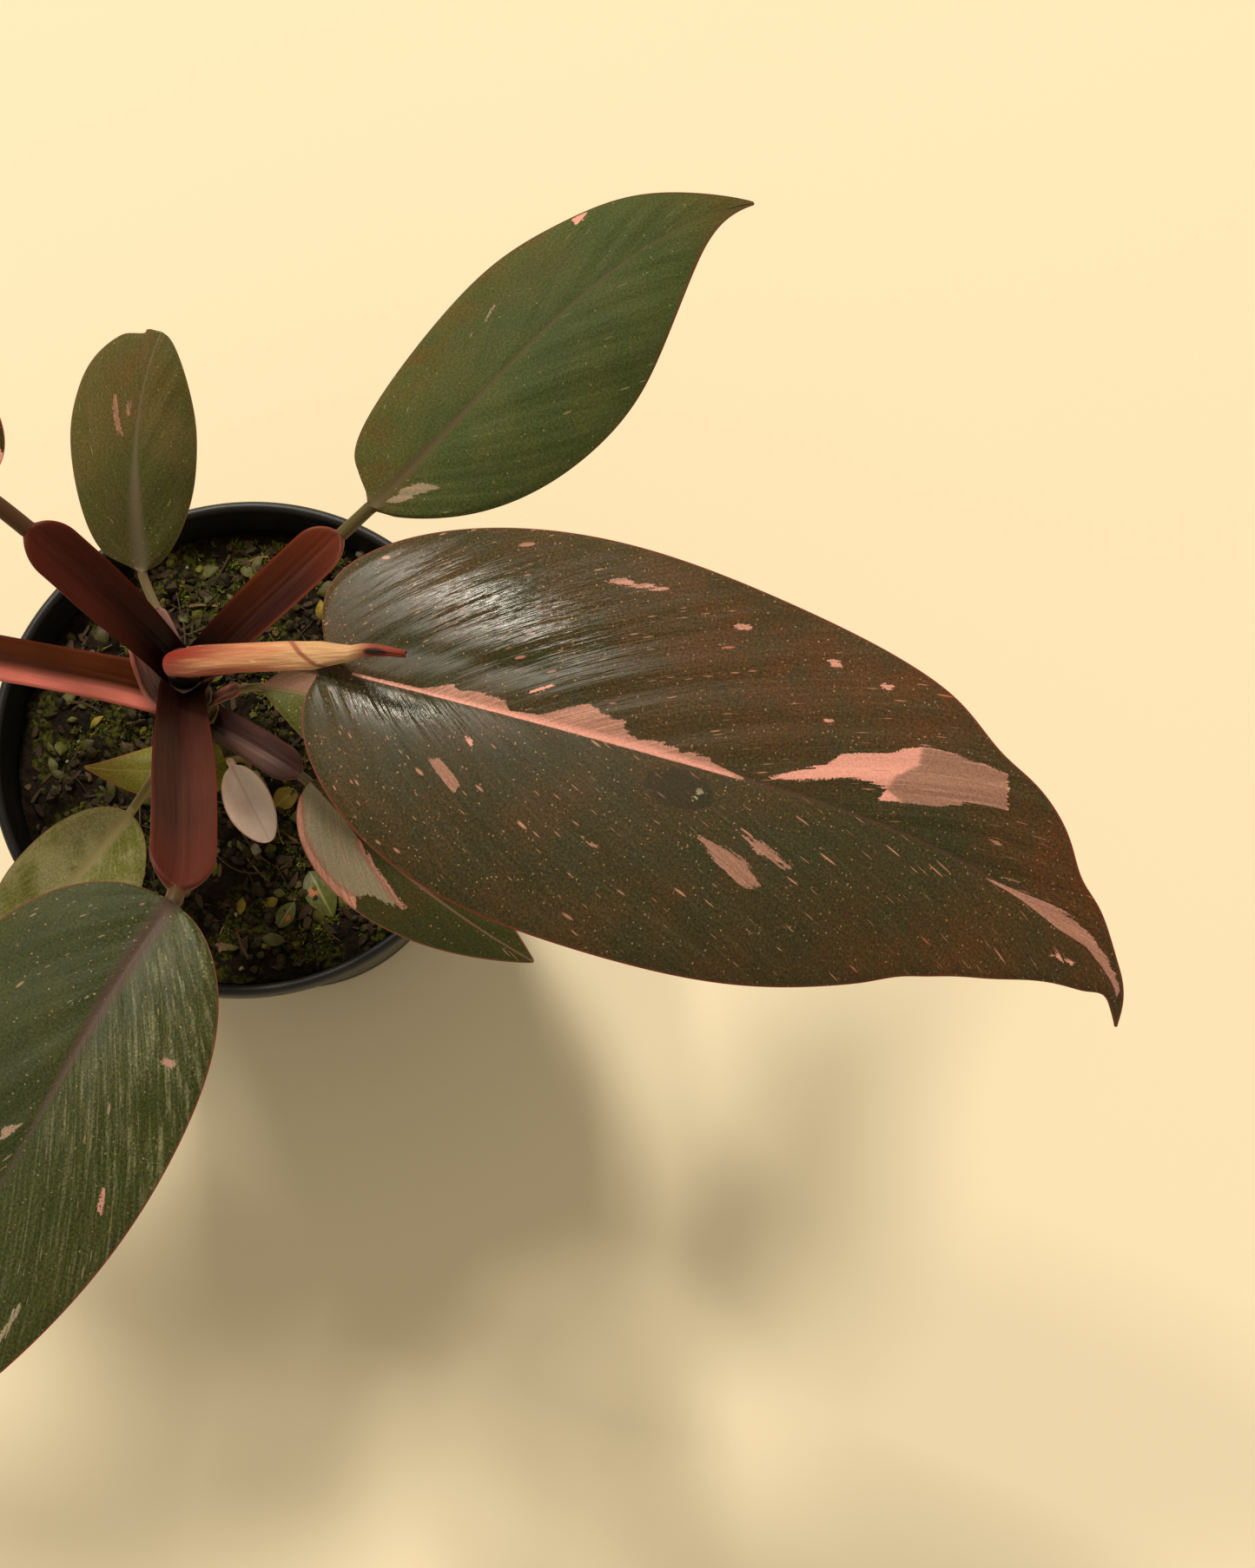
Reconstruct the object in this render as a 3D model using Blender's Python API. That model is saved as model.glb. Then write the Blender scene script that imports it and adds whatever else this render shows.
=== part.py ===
"""Potted pink princess philodendron: a nursery pot, soil, a short stem, eleven leaves and two sheaths.

Run with blender --background --python part.py, or from the text editor. Metres, +Z up. The origin is the
middle of the pot's underside, +X is right in the photograph and +Y is up in it. Sizes of the plant are
given in millimetres and degrees and turned into metres by MM.
"""
import math
from dataclasses import dataclass

import bpy
import numpy as np

MM = 0.001

# Pot: a thin round nursery pot with a rolled rim
RIM_RADIUS = 60.0
POT_HEIGHT = 110.0
FOOT_RADIUS = 42.0
POT_WALL = 1.3
POT_FLOOR = 2.0
RIM_ROLL_HEIGHT = 5.0
RIM_ROLL_WIDTH = 2.6
DRAIN_HOLES = 8
DRAIN_HOLE_DIAMETER = 8.0
DRAIN_HOLE_CIRCLE = 33.0
POT_SIDES = 48

# Soil: fills the pot to just under the rim, with a plain hole for the stem
CLEARANCE = 0.3
SOIL_HEIGHT = 100.0
SOIL_RELIEF = 1.5
SOIL_SIDES = 40
SOIL_RINGS = 9
STEM_SOCKET_DEPTH = 22.0
HOLE_SIDES = 12

# Stem: short, slightly leaning forward, thinner upward, with a swelling at each leaf
STEM_FOOT_RADIUS = 4.4
STEM_TIP_RADIUS = 3.4
STEM_TOP = 194.0
STEM_FOOT_PLACE = (-6.5, 1.0)
STEM_TOP_PLACE = (-0.4, -4.0)
SHOOT_RADIUS = 1.6
SHOOT_PLACE = (3.4, -9.6)
SHOOT_TOP = 117.0
STEM_SIDES = 14

# Leaf mesh
BLADE_THICKNESS = 0.9
RIM_THICKNESS = 0.8
TIP_HALF_WIDTH = 0.5
RIB_DEPTH = 1.1
RIB_WIDTH = 1.4
FOLD_ROUNDING = 1.4
SHEATH_ROUND = 0.62
ROOT_THICKNESS = 0.72
SPINE_STEPS = 200
SPINE_OVERRUN = 0.2


@dataclass
class Edge:
    """Outline of one half of a blade: where it is widest, how blunt it is, how its ends lean and curl."""

    widest: float
    blunt: float
    lean: float = 1.0
    lobe: float = 0.0
    shoulder: float = 0.0
    ripple: float = 0.0


@dataclass
class Leaf:
    """A leaf, in millimetres and degrees. Turns are measured from +X, rises from level."""

    name: str
    root_height: float
    root_turn: float
    root_rise: float
    base: tuple
    length: float
    left: float
    right: float
    left_edge: Edge
    right_edge: Edge
    turn: tuple
    rise: tuple
    turn_bow: float = 0.0
    turn_sway: float = 0.0
    roll: tuple = (0.0, 0.0)
    fold: float = 9.0
    droop: float = 0.10
    drip: float = 0.03
    ripple_height: float = 0.0
    sheath_width: float = 9.0
    sheath_share: float = 0.86
    sheath_depth: float = 2.4
    root_width: float = 6.0
    neck: float = 2.4
    grid: tuple = (10, 17, 4)
    pull: tuple = (0.4, 0.3)
    on_shoot: bool = False


GREEN_DARK = (0.020, 0.024, 0.010)
GREEN_MID = (0.055, 0.075, 0.022)

LEAVES = [
    Leaf("leaf_right_large", 184, -8, 74, (33.0, -15.6, 232.0), 174.0, 40.5, 39.0,
         Edge(0.375, 2.10, 1.06, 0.080, -0.06, 0.07), Edge(0.485, 2.14, 1.48, 0.018, -0.05, 0.05),
         (-17.7, -56.0), (12, -28), 21.0, -4.2, (-4, 4), 10.0, 0.10, 0.023, 0.9,
         5.0, 0.80, 1.2, 4.2, 3.6, (10, 22, 5), (0.22, 0.2)),
    Leaf("leaf_front_large", 179, -93, 76, (5.8, -59.8, 228.0), 130.5, 24.0, 29.0,
         Edge(0.455, 1.71, 1.36), Edge(0.455, 1.71, 1.36),
         (-123.0, -144.0), (8, -22), 14.0, 0.0, (0, 0), 10.0, 0.10, 0.018, 0.6,
         12.6, 0.965, 3.0, 9.0, 3.4, pull=(0.24, 0.08)),
    Leaf("leaf_back_right", 170, 40, 76, (37.0, 30.6, 190.0), 109.0, 19.9, 22.3,
         Edge(0.36, 1.38, 0.66, 0.115), Edge(0.255, 1.80, 0.60, 0.025),
         (37.0, 24.0), (25, -25), 14.7, 0.0, (-5, -5), 8.0, 0.10, 0.055, 0.5,
         10.8, 0.83, 3.0, 8.6, 2.8, pull=(0.20, 0.15)),
    Leaf("leaf_back_left_large", 174, 134, 76, (-37.5, 24.3, 216.0), 118.0, 25.0, 25.0,
         Edge(0.44, 1.70, 1.2, 0.03), Edge(0.44, 1.70, 1.2, 0.03),
         (152.0, 140.0), (14, -24), 0.0, 0.0, (0, 0), 9.0, 0.10, 0.02, 0.6,
         11.2, 0.80, 3.0, 8.0, 3.6, pull=(0.20, 0.15)),
    Leaf("leaf_left_large", 155, 190, 76, (-62.0, -4.0, 208.0), 112.0, 24.0, 24.0,
         Edge(0.44, 1.70, 1.2, 0.02), Edge(0.44, 1.70, 1.2, 0.02),
         (184.0, 196.0), (10, -24), 0.0, 0.0, (0, 0), 9.0, 0.10, 0.02, 0.6,
         9.8, 0.88, 2.6, 11.6, 3.4, pull=(0.20, 0.15)),
    Leaf("leaf_back_small", 161, 106, 64, (-15.0, 24.7, 165.0), 52.3, 14.8, 11.9,
         Edge(0.51, 0.93, 0.60, 0.10), Edge(0.57, 1.31, 1.2),
         (93.0, 68.0), (40, 5), 4.3, 0.0, (0, 0), 8.0, 0.10, 0.038, 0.3,
         3.6, 0.62, 1.0, 3.4, 2.0, (8, 12, 3), (0.22, 0.2)),
    Leaf("leaf_front_left_pale", 133, -138, 74, (-17.3, -26.9, 155.0), 52.0, 13.2, 13.2,
         Edge(0.43, 1.60, 0.91, 0.025), Edge(0.43, 1.60, 0.91, 0.025),
         (-125.5, -135.5), (5, -20), 0.0, 0.0, (0, 0), 8.0, 0.10, 0.04, 0.3,
         3.6, 0.62, 1.0, 3.4, 2.0, (8, 12, 3), (0.22, 0.2)),
    Leaf("leaf_lower_right", 141, -46, 70, (20.8, -19.2, 150.0), 63.0, 12.0, 12.0,
         Edge(0.47, 1.70, 1.2), Edge(0.48, 1.74, 1.36),
         (-48.0, -27.0), (0, -20), 0.0, 0.0, (0, 0), 8.0, 0.10, 0.03, 0.3,
         8.0, 0.90, 2.0, 7.4, 2.2, (9, 14, 3), (0.22, 0.15)),
    Leaf("leaf_inner_right", 156, -20, 74, (13.1, -3.4, 172.0), 48.0, 12.0, 12.0,
         Edge(0.50, 1.80, 0.94), Edge(0.50, 1.80, 0.94),
         (-6.0, -36.0), (0, -15), 0.0, 0.0, (0, 0), 8.0, 0.10, 0.03, 0.3,
         3.6, 0.72, 0.8, 3.2, 1.8, (8, 12, 3), (0.22, 0.25)),
    Leaf("leaf_pale_tiny", 112, -110, 84, (1.8, -12.6, 138.0), 20.0, 4.2, 5.0,
         Edge(0.56, 1.26, 1.17), Edge(0.56, 1.26, 1.17),
         (-62.0, -62.0), (26, -20), 0.0, 0.0, (0, 0), 8.0, 0.10, 0.013, 0.0,
         1.9, 0.5, 0.2, 1.8, 1.5, (7, 8, 2), (0.35, 0.3), True),
    Leaf("leaf_green_tiny", 108, 140, 84, (-1.6, -8.8, 128.0), 33.0, 6.5, 6.4,
         Edge(0.375, 1.60, 1.25, 0.03), Edge(0.375, 1.60, 1.25, 0.03),
         (199.0, 166.0), (22, -22), 0.0, 0.0, (0, 0), 8.0, 0.10, 0.05, 0.0,
         1.9, 0.5, 0.2, 1.8, 1.5, (7, 8, 2), (0.35, 0.4), True),
]


def clear_scene():
    """Remove every object, so that the script can run in any file."""
    for thing in list(bpy.data.objects):
        bpy.data.objects.remove(thing)


def plain_material(name, color, roughness, metallic=0.0):
    """A Principled material of one colour."""
    material = bpy.data.materials.new(name)
    material.use_nodes = True
    shader = material.node_tree.nodes["Principled BSDF"]
    shader.inputs["Base Color"].default_value = (*color, 1.0)
    shader.inputs["Roughness"].default_value = roughness
    shader.inputs["Metallic"].default_value = metallic
    return material


def add_object(name, points, faces, material, sharp_degrees=45.0):
    """A mesh object from points in millimetres and faces, shaded smooth."""
    mesh = bpy.data.meshes.new(name)
    mesh.from_pydata((np.asarray(points, float) * MM).tolist(), [], faces)
    mesh.update()
    mesh.shade_smooth()
    mesh.set_sharp_from_angle(angle=math.radians(sharp_degrees))
    mesh.materials.append(material)
    thing = bpy.data.objects.new(name, mesh)
    bpy.context.scene.collection.objects.link(thing)
    return thing


def stem_axis(height):
    """Middle of the stem at a height: it leans more and more as it rises."""
    share = np.clip((height - SOIL_HEIGHT) / (STEM_TOP - SOIL_HEIGHT), 0, 1) ** 2
    foot = np.array(STEM_FOOT_PLACE)
    place = foot + (np.array(STEM_TOP_PLACE) - foot) * share
    return np.array([place[0], place[1], height])


def stem_radius(height):
    """Radius of the stem at a height."""
    share = np.clip((height - SOIL_HEIGHT) / (STEM_TOP - SOIL_HEIGHT), 0, 1)
    return STEM_FOOT_RADIUS + (STEM_TIP_RADIUS - STEM_FOOT_RADIUS) * share


def ease(x):
    """Smooth step from 0 to 1."""
    x = np.clip(x, 0, 1)
    return x * x * (3 - 2 * x)


def edge_outline(u, edge, drip):
    """A blade's edge at fractions u: how far along its length, and how far out of its half width."""
    rise = edge.widest * edge.blunt
    fall = (1 - edge.widest) * edge.blunt
    peak = edge.widest**rise * (1 - edge.widest) ** fall
    out = u**rise * (1 - u) ** fall / peak
    out = out * (1 + edge.shoulder * np.sin(2 * np.pi * u) + edge.ripple * np.sin(3 * np.pi * u))
    along = u**edge.lean * (1 - drip) + drip * u**14
    along = along - edge.lobe * 10 * u * np.exp(1 - 10 * u)
    return along, out


def frames(tangents, turn, roll):
    """Sideways and upward directions across a path that faces turn, rolled by an angle in radians."""
    side = np.stack([-np.sin(turn), np.cos(turn), np.zeros(len(tangents))], 1)
    side -= tangents * (side * tangents).sum(1, keepdims=True)
    side /= np.linalg.norm(side, axis=1, keepdims=True)
    up = np.cross(tangents, side)
    turned = side * np.cos(roll)[:, None] + up * np.sin(roll)[:, None]
    return turned, np.cross(tangents, turned)


def direction(turn, rise):
    """Unit vectors from angles in degrees."""
    turn = np.radians(turn)
    rise = np.radians(rise)
    return np.stack([np.cos(rise) * np.cos(turn), np.cos(rise) * np.sin(turn), np.sin(rise)], -1)


def bezier(control, share):
    """Points and tangents of a Bezier curve at shares of its length, and its length."""
    p = [np.array(point, float) for point in control]
    s = np.linspace(0, 1, SPINE_STEPS + 1)[:, None]
    fine = (1 - s) ** 3 * p[0] + 3 * (1 - s) ** 2 * s * p[1] + 3 * (1 - s) * s**2 * p[2] + s**3 * p[3]
    slope = (1 - s) ** 2 * (p[1] - p[0]) + 2 * (1 - s) * s * (p[2] - p[1]) + s**2 * (p[3] - p[2])
    run = np.concatenate([[0], np.cumsum(np.linalg.norm(np.diff(fine, axis=0), axis=1))])
    at = share * run[-1]
    path = np.stack([np.interp(at, run, fine[:, k]) for k in range(3)], -1)
    tangents = np.stack([np.interp(at, run, slope[:, k]) for k in range(3)], -1)
    return path, tangents / np.linalg.norm(tangents, axis=1, keepdims=True), run[-1]


def blade_spine(leaf, share):
    """Points and frames of the midrib at fractions of its length, which may run a little below 0."""
    fine = np.linspace(-SPINE_OVERRUN, 1, SPINE_STEPS + 1)
    on = np.clip(fine, 0, 1)
    turn = leaf.turn[0] + (leaf.turn[1] - leaf.turn[0]) * on
    turn = turn + leaf.turn_bow * 4 * on * (1 - on) + leaf.turn_sway * np.sin(2 * np.pi * on)
    rise = leaf.rise[0] + (leaf.rise[1] - leaf.rise[0]) * on
    roll = np.radians(leaf.roll[0] + (leaf.roll[1] - leaf.roll[0]) * on)
    tangents = direction(turn, rise)
    step = (fine[1] - fine[0]) * leaf.length
    points = np.zeros_like(tangents)
    points[1:] = np.cumsum((tangents[1:] + tangents[:-1]) * 0.5 * step, 0)
    start = [np.interp(0.0, fine, points[:, k]) for k in range(3)]
    points = points - start + np.array(leaf.base)
    side, up = frames(tangents, np.radians(turn), roll)

    def at(values):
        return np.stack([np.interp(share, fine, values[:, k]) for k in range(3)], -1)

    return at(points), at(side), at(up)


def blade_faces(leaf, u, w):
    """Upper and lower points of the blade for grids u (base to tip) and w (right edge to left edge).

    Each row runs from a point of the midrib forward to a point of the edge. The height across it is a
    fold up from the midrib, a droop that grows with the square of the distance, and a wave of the edge.
    """
    left_along, left_out = edge_outline(u, leaf.left_edge, leaf.drip)
    right_along, right_out = edge_outline(u, leaf.right_edge, leaf.drip)
    along = np.where(w >= 0, left_along, right_along)
    half = np.where(w >= 0, left_out * leaf.left, right_out * leaf.right)
    half = half + leaf.neck / 2 * (1 - u) + TIP_HALF_WIDTH * u
    start = u**1.15 * (0.62 + 0.38 * u)
    late = np.where(along < start, 1.5, 1 + 0.5 * ease(u / 0.2))
    x = start + (along - start) * np.abs(w) ** late
    y = half * w
    span = (leaf.left + leaf.right) / 2
    fold = math.tan(math.radians(leaf.fold))
    reach = np.sqrt(y**2 + FOLD_ROUNDING**2)
    height = fold * (reach - FOLD_ROUNDING) - leaf.droop * 4 * y**2 / span
    slope = (fold * y / reach - leaf.droop * 8 * y / span) * (1 - np.exp(-u / 0.02))
    wave = np.sin(2 * np.pi * (2.6 * u + 0.21 * np.sign(w))) * np.sin(np.pi * u) * w**2
    height = height + leaf.ripple_height * wave
    middle, side, up = blade_spine(leaf, x.ravel())
    side = side.reshape(u.shape + (3,))
    up = up.reshape(u.shape + (3,))
    middle = middle.reshape(u.shape + (3,)) + side * y[..., None] + up * height[..., None]
    normal = up - side * slope[..., None]
    normal /= np.linalg.norm(normal, axis=-1, keepdims=True)
    half_thick = BLADE_THICKNESS / 2
    neck_round = np.sqrt(np.clip(1 - w**2, 0, 1)) * leaf.neck / 2
    upper = half_thick + (neck_round - half_thick) * np.exp(-u / 0.02)
    rib = RIB_DEPTH * (1 - u) ** 0.7 * np.exp(-((y / RIB_WIDTH) ** 2)) * (1 - np.exp(-u / 0.02))
    lower = upper + rib * leaf.neck / 3.2
    edge_half = np.maximum(upper, RIM_THICKNESS / 2)
    lower = np.maximum(lower, RIM_THICKNESS / 2)
    return middle + normal * edge_half[..., None], middle - normal * lower[..., None]


def stalk_root(leaf):
    """Middle of a stalk's lower end, clear of the stem or the side shoot, and the way it leaves.

    A stalk leaves at root_rise, measured from straight out towards the way the stem runs.
    """
    away = direction(leaf.root_turn, 0)
    if leaf.on_shoot:
        axis = np.array([*SHOOT_PLACE, leaf.root_height])
        upward = np.array([0.0, 0.0, 1.0])
        radius = SHOOT_RADIUS
    else:
        axis = stem_axis(leaf.root_height)
        upward = stem_axis(leaf.root_height + 1.0) - axis
        radius = stem_radius(leaf.root_height)
    rise = math.radians(leaf.root_rise)
    heading = away * math.cos(rise) + upward * math.sin(rise)
    reach = radius + CLEARANCE + leaf.neck * ROOT_THICKNESS / 2 + 0.1
    return axis + away * reach, heading / np.linalg.norm(heading)


def stalk_faces(leaf, t, w):
    """Upper and lower points of the stalk: a boat-shaped sheath that ends round, then a round neck.

    The path is one Bezier curve from the stem to the blade. Across it the middle surface is a channel
    whose depth grows with the square of the distance, thick along its middle and thin at its edges.
    """
    root, heading = stalk_root(leaf)
    base = np.array(leaf.base)
    span = np.linalg.norm(base - root)
    blade_heading = direction(leaf.turn[0], leaf.rise[0])
    control = [root, root + heading * span * leaf.pull[0], base - blade_heading * span * leaf.pull[1], base]
    path, tangents, length = bezier(control, t[:, 0])
    swing = (leaf.turn[0] - leaf.root_turn + 180) % 360 - 180
    facing = np.radians(leaf.root_turn + swing * t[:, 0])
    side, up = frames(tangents, facing, np.radians(leaf.roll[0]) * t[:, 0])
    end = leaf.sheath_share
    widen = leaf.root_width + (leaf.sheath_width - leaf.root_width) * ease(t / (0.62 * end))
    round_share = leaf.sheath_width * SHEATH_ROUND / length
    closing = np.clip((t - end + round_share) / round_share, 0, 1)
    rounding = np.sqrt(np.clip(1 - closing**2, 0, 1))
    half = np.maximum(widen * rounding, leaf.neck) / 2
    channel = leaf.sheath_depth * (1.25 - 0.45 * ease(t / end)) * rounding
    thick = leaf.neck * (ROOT_THICKNESS + (1 - ROOT_THICKNESS) * ease((t - 0.6) / (end - 0.6 + 1e-6)))
    y = half * w
    middle = channel * np.abs(w) ** 1.6
    body = np.maximum(thick * np.sqrt(np.clip(1 - w**2, 0, 1)), RIM_THICKNESS) / 2
    centre = path[:, None, :] + side[:, None, :] * y[..., None]
    upper = centre + up[:, None, :] * (middle + body)[..., None]
    lower = centre + up[:, None, :] * (middle - body)[..., None]
    return upper, lower


def across(columns):
    """Places across a leaf, closer together at the midrib."""
    half = np.linspace(0, 1, columns + 1) ** 1.25
    return np.concatenate([-half[:0:-1], half])


def leaf_faces(leaf):
    """Upper and lower grids of a whole leaf, stalk and blade in one run."""
    stalk_rows, blade_rows, columns = leaf.grid
    w = across(columns)
    stalk_length = np.linalg.norm(np.array(leaf.base) - stalk_root(leaf)[0]) * 1.05
    closing = leaf.sheath_width * SHEATH_ROUND / stalk_length
    sheath = (leaf.sheath_share - closing) * np.linspace(0, 1, stalk_rows - 2) ** 1.3
    end = leaf.sheath_share - closing * np.array([0.62, 0.36, 0.16, 0.04])
    t = np.concatenate([sheath, end, [leaf.sheath_share + 0.25 * (1 - leaf.sheath_share)]])
    t, t_w = np.meshgrid(t, w, indexing="ij")
    stalk = stalk_faces(leaf, t, t_w)
    u = np.linspace(0, 1, blade_rows + 1)
    u = 0.1 * u + 0.45 * (1 - np.cos(np.pi * u))
    u, u_w = np.meshgrid(u, w, indexing="ij")
    blade = blade_faces(leaf, u, u_w)
    return np.concatenate([stalk[0], blade[0]]), np.concatenate([stalk[1], blade[1]])


def loft(upper, lower):
    """Points and triangles of a closed body between two grids, split alike on both faces."""
    rows, columns = upper.shape[:2]
    points = np.concatenate([upper.reshape(-1, 3), lower.reshape(-1, 3)])
    top = np.arange(rows * columns).reshape(rows, columns)
    low = top + rows * columns
    faces = []
    for i in range(rows - 1):
        for j in range(columns - 1):
            a, b, c, d = top[i, j], top[i + 1, j], top[i + 1, j + 1], top[i, j + 1]
            faces += [(a, b, c), (a, c, d)] if j >= columns // 2 else [(a, b, d), (b, c, d)]
            a, b, c, d = low[i, j], low[i + 1, j], low[i + 1, j + 1], low[i, j + 1]
            faces += [(a, c, b), (a, d, c)] if j >= columns // 2 else [(a, d, b), (b, d, c)]
        faces += [(top[i, 0], low[i, 0], low[i + 1, 0]), (top[i, 0], low[i + 1, 0], top[i + 1, 0])]
        faces += [(top[i, -1], low[i + 1, -1], low[i, -1]), (top[i, -1], top[i + 1, -1], low[i + 1, -1])]
    for j in range(columns - 1):
        faces += [(top[0, j], top[0, j + 1], low[0, j + 1]), (top[0, j], low[0, j + 1], low[0, j])]
        faces += [(top[-1, j], low[-1, j + 1], top[-1, j + 1]), (top[-1, j], low[-1, j], low[-1, j + 1])]
    return points, [tuple(int(k) for k in face) for face in faces]


def lathe(profile, sides, closed=False):
    """Points and faces of a profile of (radius, height) turned round the vertical axis.

    The profile runs so that the outside lies to its right. A point on the axis closes in a fan.
    """
    points = []
    rings = []
    for radius, height in profile:
        if radius == 0:
            rings.append([len(points)] * sides)
            points.append((0.0, 0.0, height))
            continue
        rings.append(list(range(len(points), len(points) + sides)))
        for k in range(sides):
            turn = 2 * math.pi * k / sides
            points.append((radius * math.cos(turn), radius * math.sin(turn), height))
    faces = []
    pairs = list(zip(rings, rings[1:]))
    if closed:
        pairs.append((rings[-1], rings[0]))
    for lower, upper in pairs:
        for k in range(sides):
            n = (k + 1) % sides
            face = [lower[k], lower[n], upper[n], upper[k]]
            faces.append(tuple(dict.fromkeys(face)))
    return points, faces


def pot_radius(height):
    """Outer radius of the pot's wall at a height."""
    wall_top = RIM_RADIUS - RIM_ROLL_WIDTH + POT_WALL
    return FOOT_RADIUS + (wall_top - FOOT_RADIUS) * height / POT_HEIGHT


def cut_holes(body, name, plugs, low, high, material):
    """Cut upright round holes from a body: each plug is (x, y, radius), and its hole is wider by CLEARANCE."""
    points = []
    faces = []
    for x, y, radius in plugs:
        wide = radius + CLEARANCE
        ring, ring_faces = lathe([(0, low), (wide, low), (wide, high), (0, high)], HOLE_SIDES)
        faces += [tuple(i + len(points) for i in face) for face in ring_faces]
        points += [(px + x, py + y, pz) for px, py, pz in ring]
    cutter = add_object(name, points, faces, material)
    cutter.hide_render = True
    cutter.display_type = "WIRE"
    holes = body.modifiers.new("holes", "BOOLEAN")
    holes.operation = "DIFFERENCE"
    holes.object = cutter


def make_pot(material):
    """The pot: a turned wall, floor and rolled rim, with round drain holes cut through the floor."""
    top = POT_HEIGHT
    wall_top = pot_radius(top - RIM_ROLL_HEIGHT)
    profile = [
        (0, 0),
        (FOOT_RADIUS - 1.5, 0),
        (FOOT_RADIUS, 1.5),
        (wall_top, top - RIM_ROLL_HEIGHT),
        (RIM_RADIUS - 0.4, top - RIM_ROLL_HEIGHT),
        (RIM_RADIUS, top - RIM_ROLL_HEIGHT + 1.0),
        (RIM_RADIUS, top - 1.0),
        (RIM_RADIUS - 0.9, top),
        (RIM_RADIUS - RIM_ROLL_WIDTH + 0.3, top - 0.1),
        (RIM_RADIUS - RIM_ROLL_WIDTH, top - 1.2),
        (pot_radius(POT_FLOOR) - POT_WALL, POT_FLOOR),
        (0, POT_FLOOR),
    ]
    points, faces = lathe(profile, POT_SIDES)
    pot = add_object("pot", points, faces, material, 30.0)
    plugs = []
    for k in range(DRAIN_HOLES):
        turn = 2 * math.pi * (k + 0.5) / DRAIN_HOLES
        x = DRAIN_HOLE_CIRCLE * math.cos(turn)
        y = DRAIN_HOLE_CIRCLE * math.sin(turn)
        plugs.append((x, y, DRAIN_HOLE_DIAMETER / 2 - CLEARANCE))
    cut_holes(pot, "drain_hole_cutter", plugs, -2, POT_FLOOR + 2, material)
    return pot


def soil_relief(radius, turn):
    """Height of the soil's lumps: a few crossed waves, low at the pot's wall and at the stem."""
    x = radius * np.cos(turn)
    y = radius * np.sin(turn)
    lumps = np.sin(0.31 * x + 0.9) * np.cos(0.27 * y - 0.4) + 0.6 * np.sin(0.53 * x - 0.47 * y + 2.0)
    lumps = lumps + 0.4 * np.cos(0.83 * x + 0.71 * y)
    from_stem = np.hypot(x - STEM_FOOT_PLACE[0], y - STEM_FOOT_PLACE[1])
    shore = ease((55.0 - radius) / 8.0) * ease((from_stem - 6.0) / 6.0)
    return SOIL_RELIEF * lumps / 2 * shore


def make_soil(material):
    """The soil: a turned body with lumps on top, and plain holes for the stem and the side shoot."""
    outer = pot_radius(SOIL_HEIGHT) - POT_WALL - CLEARANCE - 0.15
    low = POT_FLOOR + CLEARANCE
    rings = np.linspace(outer, 0, SOIL_RINGS)
    profile = [(0, low), (pot_radius(low) - POT_WALL - CLEARANCE - 0.15, low)]
    profile += [(radius, SOIL_HEIGHT) for radius in rings]
    points, faces = lathe(profile, SOIL_SIDES)
    raised = []
    for x, y, z in points:
        radius = math.hypot(x, y)
        if z == SOIL_HEIGHT:
            z += float(soil_relief(radius, math.atan2(y, x)))
            z += -0.6 * float(ease((radius - 46) / 10))
        raised.append((x, y, z))
    soil = add_object("soil", raised, faces, material, 80.0)
    plugs = [(*STEM_FOOT_PLACE, STEM_FOOT_RADIUS), (*SHOOT_PLACE, SHOOT_RADIUS)]
    cut_holes(soil, "stem_hole_cutter", plugs, SOIL_HEIGHT - STEM_SOCKET_DEPTH, SOIL_HEIGHT + 5, material)
    return soil


def make_stem(material):
    """The stem: a leaning taper, ringed where leaves leave it, on a plain foot in the soil's hole."""
    foot = SOIL_HEIGHT - STEM_SOCKET_DEPTH + CLEARANCE
    profile = [(0, foot), (STEM_FOOT_RADIUS, foot), (STEM_FOOT_RADIUS, SOIL_HEIGHT + 2)]
    steps = 11
    for k in range(1, steps + 1):
        height = SOIL_HEIGHT + 2 + (STEM_TOP - SOIL_HEIGHT - 4) * k / steps
        profile.append((float(stem_radius(height)) - 0.25 * (k % 2), height))
    profile += [(STEM_TIP_RADIUS * 0.6, STEM_TOP), (0, STEM_TOP + 0.6)]
    points, faces = lathe(profile, STEM_SIDES)
    leant = []
    for x, y, z in points:
        place = stem_axis(z)
        leant.append((x + place[0], y + place[1], z))
    return add_object("stem", leant, faces, material, 60.0)


def make_shoot(material):
    """The side shoot: a short round peg in its own hole, which carries the two tiny leaves."""
    foot = SOIL_HEIGHT - STEM_SOCKET_DEPTH + CLEARANCE
    profile = [(0, foot), (SHOOT_RADIUS, foot), (SHOOT_RADIUS, SHOOT_TOP - 2),
               (SHOOT_RADIUS * 0.7, SHOOT_TOP - 0.4), (0, SHOOT_TOP)]
    points, faces = lathe(profile, 10)
    placed = [(x + SHOOT_PLACE[0], y + SHOOT_PLACE[1], z) for x, y, z in points]
    return add_object("side_shoot", placed, faces, material, 60.0)


@dataclass
class Sheath:
    """A dry or papery sheath along a Bezier curve, in millimetres. A hood's edges turn down."""

    name: str
    path: tuple
    widths: tuple
    hood: float
    tip_curl: float
    rows: int
    columns: int
    thickness: float
    twist: tuple


SHEATHS = [
    Sheath("dry_sheath_peach", ((-0.5, -4.0, 195.5), (6.0, -7.0, 212.0), (29.3, -14.0, 240.0), (49.6, -17.0, 246.0)),
           (2.8, 6.4, 6.4, 6.0, 5.0, 2.2), -0.5, 2.6, 20, 3, 0.8, (0, -8)),
    Sheath("young_sheath_left", ((-5.5, -5.1, 168.0), (-10.5, -9.0, 169.5), (-12.0, -2.6, 175.0), (-14.2, 5.4, 181.0)),
           (4.0, 6.4, 6.6, 5.0, 1.4), 0.5, 0.0, 10, 3, 0.8, (40, 50)),
]


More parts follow.
